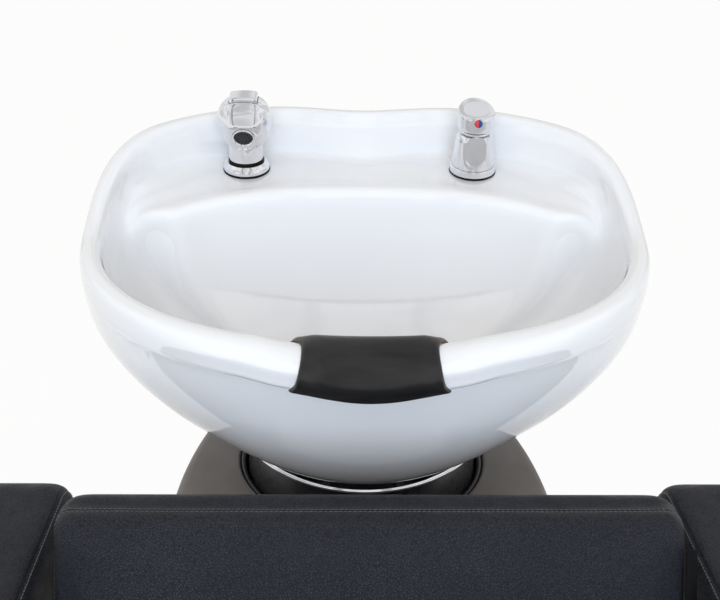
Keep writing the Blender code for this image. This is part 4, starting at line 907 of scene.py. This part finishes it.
def block(name, half_u, half_v, corner, low, high, ease, crown=None):
    """Rounded-corner block between two heights: rims eased by quarter circles, top crowned if asked."""
    turn = np.linspace(0, math.pi / 2, 5)
    inset = np.concatenate([ease * (1 - np.sin(turn)), ease * (1 - np.cos(turn))])
    height = np.concatenate([low + ease * (1 - np.cos(turn)), high - ease * (1 - np.sin(turn))])
    inner = np.array([0.25, 0.5, 0.75, 0.97]) * min(half_u, half_v)
    inset = np.concatenate([inner[::-1], inset, inner])
    height = np.concatenate([np.full(4, low), height, np.full(4, high)])
    rings = []
    for gap, z in zip(inset, height):
        flat = rounded_outline(half_u - gap, half_v - gap, max(corner - gap, 0.02 * corner), 14, 10, 6)
        rings.append(stack(flat.T, z))
    grid = np.array(rings)
    if crown:
        top = soft_step(grid[..., 2], 0.5 * (low + high), high)
        grid[..., 2] += top * crown(grid[..., 0], grid[..., 1])
    return tube_grid(name, grid)


# Pedestal


def pedestal_reach(turn):
    """Distance from the tilt axis to the outline: an ellipse for the sides, cut flat in front and behind."""
    cosine, sine = np.cos(turn), np.sin(turn)
    half, long_half, lead = PEDESTAL_WIDTH / 2, 0.870 * PEDESTAL_WIDTH, 0.102
    a = (cosine / half) ** 2 + (sine / long_half) ** 2
    b = 2 * lead * sine / long_half ** 2
    c = (lead / long_half) ** 2 - 1
    side = (-b + np.sqrt(b * b - 4 * a * c)) / (2 * a)
    back = (PEDESTAL_BACK_Y - PIVOT[1]) / np.maximum(sine, 0.05)
    front = (PIVOT[1] - PEDESTAL_FRONT_Y) / np.maximum(-sine, 0.05)
    return (side ** -14 + back ** -14 + front ** -14) ** (-1 / 14)


def upright(thing, place):
    """Stand a flat piece up so that it faces the back, at its place in the world."""
    thing.data.transform(Matrix.Translation(place) @ Matrix.Rotation(-math.pi / 2, 4, "X"))


def make_pedestal():
    """Moulded shell: the outline carried up a slow flare, over a round edge, and down into the recess."""
    turn = (np.arange(PEDESTAL_COLUMNS) + 0.5) * 2 * math.pi / PEDESTAL_COLUMNS
    reach = pedestal_reach(turn)
    top, wall = PEDESTAL_TOP, PEDESTAL_WALL
    shoulder = top - PEDESTAL_ROLL

    def ring(inset, narrow, height):
        out = reach - inset
        return stack((out * np.cos(turn) * narrow, PIVOT[1] + out * np.sin(turn)), height)

    def flare(z):
        return np.polyval(np.polyfit([PEDESTAL_FOOT, 0.45 * top, shoulder], [0.90, 0.93, 1.0], 2), z)

    rows = [ring(0.0, flare(z), z) for z in np.linspace(PEDESTAL_FOOT, shoulder, 36)]
    arc = np.linspace(0, math.pi / 2, 9)[1:]
    rows += [ring(0.0145 * (1 - math.cos(a)), 1.0, shoulder + PEDESTAL_ROLL * math.sin(a)) for a in arc]
    lip = eased([(0.168, top), (RECESS_RADIUS, top), (RECESS_RADIUS, top - 0.030)], 0.0045, 7, False)
    lip = np.concatenate([lip, [(RECESS_RADIUS + wall, top - 0.030),
                                (RECESS_RADIUS + wall, top - wall - 0.004)]])
    rows += [stack((r * np.cos(turn), PIVOT[1] + r * np.sin(turn)), z) for r, z in lip]
    rows += [ring(0.018, 1.0, top - wall - 0.004)]
    rows += [ring(wall, flare(z), z) for z in np.linspace(top - 0.022, PEDESTAL_FOOT, 8)]
    dress(tube_grid("moulded_pedestal", np.array(rows), True), "base", "grey_moulding", "pedestal_shell")
    inner, outer = BOOT_RADIUS + 0.002, RECESS_RADIUS - FIT
    trim = eased([(inner + 0.001, top - 0.026), (outer, top - 0.026), (outer, top - 0.004),
                  (outer - 0.002, top - 0.0012), (inner + 0.001, top - 0.0035), (inner, top - 0.012)],
                 0.0018, 6)
    dress(tube_grid("recess_seal", spun(trim, 240, (0.0, PIVOT[1], 0.0)), True), "base",
          "grey_boot_plastic", "recess_trim")
    panel = block("service_cover", 0.092, 0.165, 0.012, 0.0003, 0.0033, 0.0010)
    upright(panel, (0.0, PEDESTAL_BACK_Y, 0.265))
    dress(panel, "base", "grey_moulding", "rear_panel")
    screw = eased([(0.0004, -0.012), (0.0020, -0.0115), (0.0020, 0.0036), (0.0046, 0.0036),
                   (0.0044, 0.0048), (0.0030, 0.0059), (0.0020, 0.0058), (0.0018, 0.0040),
                   (0.0004, 0.0036)], 0.0004, 4, False)
    for number, (x, z) in enumerate(((-0.082, 0.115), (-0.082, 0.415), (0.082, 0.115), (0.082, 0.415)), 1):
        head = tube_grid("cover_screw_%d" % number, spun(screw, 36))
        upright(head, (x, PEDESTAL_BACK_Y, z))
        dress(head, "base", "zinc_steel", "panel_screw_%d" % number)


# Chair


def padded_rows(least, thick, roll, crown_low, crown_high, faces, round_steps, side_steps):
    """Section of a stuffed block as (inset, height): crowned face, quarter-round roll, side, roll, face."""
    share = np.linspace(0, 1, faces) ** 1.35
    inset = roll + share * (0.97 * least - roll)
    swell = 1 - (1 - np.clip((inset - roll) / (0.62 * least - roll), 0, 1)) ** 2.2
    turn = np.linspace(0, math.pi / 2, round_steps)
    low = np.column_stack([inset[::-1], -crown_low * swell[::-1]])
    low_roll = np.column_stack([roll * (1 - np.sin(turn)), roll * (1 - np.cos(turn))])[1:]
    side = np.column_stack([np.zeros(side_steps), np.linspace(roll, thick - roll, side_steps + 2)[1:-1]])
    high_roll = np.column_stack([roll * (1 - np.cos(turn)), thick - roll * (1 - np.sin(turn))])
    high = np.column_stack([inset, thick + crown_high * swell])[1:]
    return np.concatenate([low, low_roll, side, high_roll, high])


def stuffed(half_u, half_v, thick, corner, roll, crown_low, crown_high, along, dense):
    """Grid (across, along, depth) of a stuffed block: its section carried round a rounded rectangle."""
    least = min(half_u, half_v)
    rows = padded_rows(least, thick, roll, crown_low, crown_high, 14 * dense, 9 * dense, 8 * dense)
    grid = []
    for inset, height in rows:
        flat = rounded_outline(half_u - inset, half_v - inset, max(corner - 0.75 * inset, 0.03 * corner),
                               along[0], along[1], 16)
        grid.append(stack(flat.T, height))
    return np.array(grid)


def grooved(grid, depth, width, where):
    """Press a groove into a grid along each given row: a bell curve of the distance round its section."""
    path = np.concatenate([[0], np.cumsum(np.linalg.norm(np.diff(grid, axis=0), axis=2).mean(1))])
    normal = np.cross(np.gradient(grid, axis=1), np.gradient(grid, axis=0))
    normal /= np.maximum(np.linalg.norm(normal, axis=2, keepdims=True), 1e-9)
    middle = grid.mean((0, 1))
    if ((grid - middle) * normal).sum() < 0:
        normal = -normal
    press = sum(np.exp(-((path - path[row]) / width) ** 2) for row in where)
    return grid - normal * (depth * press)[:, None, None], normal


def inflate(thing, pin, cap):
    """Blow a pad up: remesh a copy, run it as cloth under pressure with points pinned, cap the motion."""
    proxy = bpy.data.objects.new(thing.name + "_proxy", thing.data.copy())
    bpy.context.scene.collection.objects.link(proxy)
    remesh = proxy.modifiers.new("voxels", "REMESH")
    remesh.mode = "VOXEL"
    remesh.voxel_size = CLOTH_VOXEL
    bpy.context.view_layer.update()
    baked(proxy)
    count = len(proxy.data.vertices)
    start = np.empty(count * 3, np.float32)
    proxy.data.vertices.foreach_get("co", start)
    start = start.reshape(-1, 3)
    group = proxy.vertex_groups.new(name="held")
    group.add(np.nonzero(pin(start))[0].tolist(), 1.0, "REPLACE")
    cloth = proxy.modifiers.new("cloth", "CLOTH")
    cloth.settings.use_pressure = True
    cloth.settings.uniform_pressure_force = CLOTH_PRESSURE
    cloth.settings.vertex_group_mass = "held"
    cloth.settings.effector_weights.gravity = 0.0
    cloth.settings.quality = 4
    cloth.point_cache.frame_start = 1
    cloth.point_cache.frame_end = CLOTH_FRAMES
    scene = bpy.context.scene
    for step in range(1, CLOTH_FRAMES + 1):
        scene.frame_set(step)
    graph = bpy.context.evaluated_depsgraph_get()
    done = proxy.evaluated_get(graph).to_mesh()
    end = np.empty(count * 3, np.float32)
    done.vertices.foreach_get("co", end)
    proxy.evaluated_get(graph).to_mesh_clear()
    proxy.modifiers.clear()
    move = end.reshape(-1, 3) - start
    length = np.maximum(np.linalg.norm(move, axis=1, keepdims=True), 1e-9)
    settled = start + move * np.minimum(1, cap / length)
    proxy.data.vertices.foreach_set("co", settled.astype(np.float32).ravel())
    proxy.data.update()
    scene.frame_set(1)
    proxy.modifiers.new("soften", "SMOOTH").iterations = 4
    proxy.modifiers.new("refine", "SUBSURF").levels = 1
    wrap = thing.modifiers.new("wrap", "SHRINKWRAP")
    wrap.target = proxy
    wrap.wrap_method = "NEAREST_SURFACEPOINT"
    bpy.context.view_layer.update()
    baked(thing)
    bpy.data.objects.remove(proxy, do_unlink=True)


def stitched(name, path):
    """Row of stitches: short capsules laid end to end along a closed path, each swept along its tangent."""
    path = np.concatenate([path, path[:1]])
    run = np.concatenate([[0], np.cumsum(np.linalg.norm(np.diff(path, axis=0), axis=1))])
    count = int(run[-1] / STITCH_PITCH)
    middle = (np.arange(count) + 0.5) * STITCH_PITCH
    offsets = STITCH_LENGTH * np.array([-0.5, -0.36, 0.0, 0.36, 0.5])
    swell = STITCH_RADIUS * np.array([0.25, 0.85, 1.0, 0.85, 0.25])
    where = middle[:, None] + offsets
    spots = np.stack([np.interp(where, run, path[:, k]) for k in range(3)], -1)
    along = np.gradient(spots, axis=1)
    along /= np.linalg.norm(along, axis=2, keepdims=True)
    side = np.cross(along, np.array([0.31, 0.52, 0.80]))
    side /= np.linalg.norm(side, axis=2, keepdims=True)
    rise = np.cross(side, along)
    stations, around = len(offsets), 6
    turn = np.arange(around) * 2 * math.pi / around
    round_way = side[:, :, None] * np.cos(turn)[:, None] + rise[:, :, None] * np.sin(turn)[:, None]
    rings = spots[:, :, None] + swell[:, None, None] * round_way
    start = np.arange(count) * stations * around
    faces = (quads(stations, around, False, True)[None] + start[:, None, None]).reshape(-1, 4)
    end = np.arange(around)
    caps = [end[::-1] + k for k in start] + [end + (stations - 1) * around + k for k in start]
    return solid(name, rings, faces, caps)


def upholster(name, node, grid, place, seams, stitch_rows, cap, pin, thread_names):
    """Make one padded piece: swell it as cloth, press in its seams, and lay its stitches along them."""
    thing = tube_grid(name, place(grid))
    inflate(thing, pin, cap)
    shaped = grid_of(thing, grid.shape)
    shaped, normal = grooved(shaped, SEAM_DEPTH, SEAM_WIDTH, seams)
    reshape(thing, shaped)
    dress(thing, "base", "black_vinyl", node)
    for label, row in zip(thread_names, stitch_rows):
        path = shaped[row] + normal[row] * 0.00012
        seam = stitched(label, path)
        dress(seam, "base", "thread", slot="black_vinyl")


def nearest_rows(grid, seam, offset):
    """Rows that lie a given distance along the section to either side of a seam row."""
    path = np.concatenate([[0], np.cumsum(np.linalg.norm(np.diff(grid, axis=0), axis=2).mean(1))])
    return [int(np.argmin(np.abs(path - path[seam] - step))) for step in (-offset, offset)]


def seam_row(grid, inset):
    """Row on the lower roll of a stuffed block that lies a given distance in from its side."""
    across = grid[..., 0].max(1)
    half = len(grid) // 2
    return int(np.argmin(np.abs(across.max() - across[:half] - inset)))


def back_place(points):
    """Upright block (across, height, depth) to its place in the leaning backrest."""
    return in_back(np.stack([points[..., 0], points[..., 2], points[..., 1] - BACK_HEIGHT / 2], -1))


def make_backrest():
    """Backrest: a stuffed block that leans back, swollen towards the client."""
    grid = stuffed(BACK_WIDTH / 2 - 0.002, BACK_HEIGHT / 2 - 0.002, BACK_THICK, BACK_CORNER - 0.010,
                   BACK_ROLL, 0.006, 0.0, (150, 90), 3)
    front, rear = (int(np.argmin(np.abs(grid[:, 0, 2] - depth))) for depth in (0.0215, BACK_THICK - 0.010))
    near = nearest_rows(grid, front, 0.0030)

    def back_pin(spots):
        flat = turned_about_x(spots.astype(float) - BACK_TOP, BACK_LEAN)
        return flat[:, 1] > 0.045

    upholster("backrest_pad", "backrest_cushion", grid, back_place, [front, rear], near, 0.006, back_pin,
              ["backrest_stitch_1", "backrest_stitch_2"])


def make_seat():
    """Seat: a stuffed block with a crowned top, held near its board."""
    low, high = box_of("seat_cushion")
    half = (high - low) / 2
    seat = stuffed(half[0], half[1], SEAT_TOP - low[2], PAD_CORNER, 0.020, 0.0, 0.012, (130, 110), 3)
    low_row = seam_row(seat, 0.0100)
    top_row = len(seat) - 1 - low_row
    centre = np.array([0.0, (low[1] + high[1]) / 2, low[2]])
    upholster("seat_pad", "seat_cushion", seat, lambda p: p + centre, [top_row, low_row],
              nearest_rows(seat, top_row, 0.0042), 0.008, lambda s: s[:, 2] < low[2] + 0.035,
              ["seat_stitch_1", "seat_stitch_2"])


def make_arms():
    """Arms: two stuffed panels that stand on their edges beside the seat."""
    for sign, label in ((-1, "left"), (1, "right")):
        low, high = box_of("arm_" + label)
        size = high - low
        arm = stuffed(size[1] / 2 - 0.002, size[2] / 2 - 0.002, size[0] - 0.002, PAD_CORNER, 0.016, 0.0, 0.0,
                      (150, 130), 2)
        inner = seam_row(arm, 0.0060)
        outer = len(arm) - 1 - inner
        edge = low[0] if sign > 0 else high[0]

        def arm_place(points, sign=sign, edge=edge, low=low, high=high):
            return np.stack([edge + sign * (points[..., 2] + 0.001),
                             (low[1] + high[1]) / 2 + points[..., 0],
                             (low[2] + high[2]) / 2 + points[..., 1]], -1)

        upholster("arm_pad_" + label, "arm_" + label, arm, arm_place, [inner, outer],
                  nearest_rows(arm, inner, 0.0036)[:1] + nearest_rows(arm, outer, 0.0036)[1:], 0.0025,
                  lambda s: s[:, 2] < 0.12, ["arm_stitch_inner_" + label, "arm_stitch_outer_" + label])


def make_boards():
    """Covered boards behind the backrest and under the seat's front."""
    board = block("back_cover", BACK_WIDTH / 2 - 0.012, BACK_HEIGHT / 2 - 0.020, 0.030, 0.0703, 0.0853,
                  0.0045)
    reshape(board, back_place(grid_of(board)))
    dress(board, "base", "black_vinyl", "back_panel")
    low, high = box_of("front_apron")
    half = (high - low) / 2
    apron = block("apron_cover", half[0], half[2], 0.006, -half[1], half[1], 0.0035)
    apron.data.transform(Matrix.Translation((low + high) / 2) @ Matrix.Rotation(math.pi / 2, 4, "X"))
    dress(apron, "base", "black_vinyl", "front_apron")


def make_edge_band():
    """Edge band: a hooked section carried along the front of the seat board."""
    low, high = box_of("seat_board")
    face, top, under = low[1], high[2], low[2]
    band = eased([(face + 0.005, top + 0.0011), (face - 0.0016, top + 0.0011),
                  (face - 0.0016, under - 0.0014), (face + 0.010, under - 0.0014),
                  (face + 0.010, under - 0.0002), (face - 0.0002, under - 0.0002),
                  (face - 0.0002, top + 0.0001), (face + 0.005, top + 0.0001)], 0.0004)
    along = np.linspace(low[0], high[0], 9)
    grid = np.empty((9, len(band), 3))
    grid[..., 0], grid[..., 1:] = along[:, None], band
    dress(tube_grid("seat_edge_band", grid), "base", "dark_plastic")


def make_glides():
    """Floor glides: one turned foot under each end of the arms."""
    foot = eased([(0.0006, 0.0), (0.0185, 0.0), (0.0200, 0.004), (0.0160, 0.015), (0.0006, 0.015)],
                 0.0015, 5, False)
    for node in ("glide_front_left", "glide_front_right", "glide_rear_left", "glide_rear_right"):
        low, high = box_of(node)
        mid = (low + high) / 2
        glide = tube_grid("floor_" + node, spun(foot, 64, (mid[0], mid[1], 0.0)))
        dress(glide, "base", "dark_plastic", node)


def make_tag():
    """Plain folded tape sewn into the right-hand seam: a thin strip carried down the rolled edge."""
    depth = np.linspace(0.036, 0.082, 24)
    gone = np.maximum(BACK_CORNER - depth, 0)
    edge = BACK_WIDTH / 2 - BACK_CORNER + np.sqrt(BACK_CORNER ** 2 - gone ** 2)
    turn = np.linspace(math.radians(8), math.radians(62), 14)
    rows = []
    for lift in (0.0012, 0.0024):
        radius = BACK_ROLL + lift
        across = edge[:, None] - BACK_ROLL + radius * np.sin(turn)
        level = BACK_ROLL - radius * np.cos(turn)
        rows.append(np.stack([across, np.broadcast_to(level, across.shape),
                              np.broadcast_to(-depth[:, None], across.shape)], -1))
    outer, inner = rows[1], rows[0]
    grid = np.concatenate([inner, outer[:, ::-1]], 1)
    tag = tube_grid("plain_tag", in_back(grid))
    dress(tag, "base", "black_tape", "seam_tag")


def dress_solids():
    """Give each solid that still shows the finish of its slot."""
    slots = {s["node"]: s["material_slot"] for s in frame["record"]["subparts"]}
    for node, thing in frame["nodes"].items():
        thing.data.materials.clear()
        thing.data.materials.append(LOOKS[slots[node]].made)


# Studio

AMBIENT = 0.65
WARM = (1.0, 0.965, 0.915, 1.0)
FLOOR_GLOW = 0.94
GAP_ASIDE, GAP_HALF, GAP_DEPTH = 0.24, 0.05, 0.45
LENS, SENSOR = 52.5, 36.0
EYE = (-0.030, -0.680, 1.2704)
LOOK_ASIDE, LOOK_DOWN, ROLL = (math.radians(angle) for angle in (-1.37, 24.93, 0.9))


def make_studio():
    """White room: pale floor, a cool lamp in front, a neutral one above, and a world that is white where
    it is seen. In reflections the floor is dim close to the object, where its shadow lies."""
    scene = bpy.context.scene
    scene.view_settings.view_transform = "Standard"
    floor = solid("studio_floor", [(-30, -30, 0), (30, -30, 0), (30, 30, 0), (-30, 30, 0)], [(0, 1, 2, 3)])
    white = bpy.data.materials.new("studio_white")
    white.use_nodes = True
    tree = white.node_tree
    tree.nodes.clear()
    path = joined(tree, "ShaderNodeLightPath").outputs
    place = joined(tree, "ShaderNodeTexCoord").outputs["Object"]
    far = joined(tree, "ShaderNodeVectorMath", (0, place), operation="LENGTH").outputs["Value"]
    mirrored = worked(tree, "MULTIPLY", path["Is Glossy Ray"], smooth_range(tree, far, 0.5, 1.6, 0.15))
    seen = worked(tree, "MAXIMUM", path["Is Camera Ray"], mirrored)
    seen = worked(tree, "MAXIMUM", path["Is Transmission Ray"], seen)
    share = worked(tree, "MULTIPLY", seen, FLOOR_GLOW)
    matte = joined(tree, "ShaderNodeBsdfDiffuse", ("Color", (0.9, 0.9, 0.9, 1.0))).outputs[0]
    glow = joined(tree, "ShaderNodeEmission").outputs[0]
    mix = joined(tree, "ShaderNodeMixShader", (0, share), (1, matte), (2, glow)).outputs[0]
    joined(tree, "ShaderNodeOutputMaterial", ("Surface", mix))
    floor.data.materials.append(white)
    make_world(scene)
    for name, spot, aim, size, power, tint in (
            ("front_lamp", (0.1, -2.3, 1.40), (0.0, 0.3, 0.75), 1.6, 41.0, (0.70, 0.83, 1.0)),
            ("key_lamp", (-0.4, -1.5, 2.8), (0.0, 0.3, 0.75), 2.0, 15.0, (1.0, 0.98, 0.98))):
        lamp = bpy.data.lights.new(name, "AREA")
        lamp.size = size
        lamp.energy = power
        lamp.color = tint
        thing = bpy.data.objects.new(name, lamp)
        thing.visible_glossy = False
        thing.location = spot
        thing.rotation_euler = (Vector(aim) - Vector(spot)).to_track_quat("-Z", "Y").to_euler()
        scene.collection.objects.link(thing)


def make_world(scene):
    """World: even warm light, white to the camera; reflections see a room that is brighter at the sides,
    with a dark gap to each side of the camera."""
    world = bpy.data.worlds.new("studio_world")
    scene.world = world
    world.use_nodes = True
    tree = world.node_tree
    back = tree.nodes["Background"]
    way = joined(tree, "ShaderNodeTexCoord").outputs["Generated"]
    split = joined(tree, "ShaderNodeSeparateXYZ", (0, way))
    tall = joined(tree, "ShaderNodeMapping", ("Vector", way), ("Scale", (1.0, 1.0, 0.3))).outputs[0]
    cloud = joined(tree, "ShaderNodeTexNoise", ("Vector", tall), ("Scale", 4.0),
                   ("Detail", 2.0)).outputs["Fac"]
    aside = worked(tree, "ABSOLUTE", split.outputs["X"])
    gap = worked(tree, "COMPARE", aside, GAP_ASIDE, GAP_HALF)
    ahead = worked(tree, "LESS_THAN", split.outputs["Y"], -0.1)
    strip = worked(tree, "MULTIPLY_ADD", worked(tree, "MULTIPLY", gap, ahead), -GAP_DEPTH, 1.0)
    room = worked(tree, "MULTIPLY", smooth_range(tree, aside, 0.20, 0.70, 0.88),
                  smooth_range(tree, cloud, 0.42, 0.56, 0.74))
    room = worked(tree, "MULTIPLY", room, strip)
    path = joined(tree, "ShaderNodeLightPath")
    level = AMBIENT
    for output, value in (("Is Glossy Ray", room), ("Is Camera Ray", 1.0), ("Is Transmission Ray", 1.0)):
        level = joined(tree, "ShaderNodeMix", (0, path.outputs[output]), (2, level), (3, value)).outputs[0]
    tree.links.new(level, back.inputs["Strength"])
    plain = worked(tree, "MAXIMUM", path.outputs["Is Camera Ray"], path.outputs["Is Glossy Ray"])
    tint = joined(tree, "ShaderNodeMix", (0, plain), (6, WARM), (7, (1.0, 1.0, 1.0, 1.0)), data_type="RGBA")
    tree.links.new(tint.outputs[2], back.inputs["Color"])


def make_camera():
    """Camera over the front of the seat, looking down into the basin."""
    data = bpy.data.cameras.new("view")
    data.sensor_width = SENSOR
    data.lens = LENS
    data.clip_end = 200.0
    thing = bpy.data.objects.new("view", data)
    aim = Matrix.Rotation(LOOK_ASIDE, 4, "Z") @ Matrix.Rotation(math.pi / 2 - LOOK_DOWN, 4, "X")
    thing.matrix_world = Matrix.Translation(EYE) @ aim @ Matrix.Rotation(ROLL, 4, "Z")
    bpy.context.scene.collection.objects.link(thing)
    bpy.context.scene.camera = thing


make_camera()
dress_solids()
make_basin()
make_neck_rest()
make_foot()
make_mixer()
make_shower()
make_pedestal()
make_backrest()
make_seat()
make_arms()
make_boards()
make_edge_band()
make_tag()
make_glides()
make_studio()
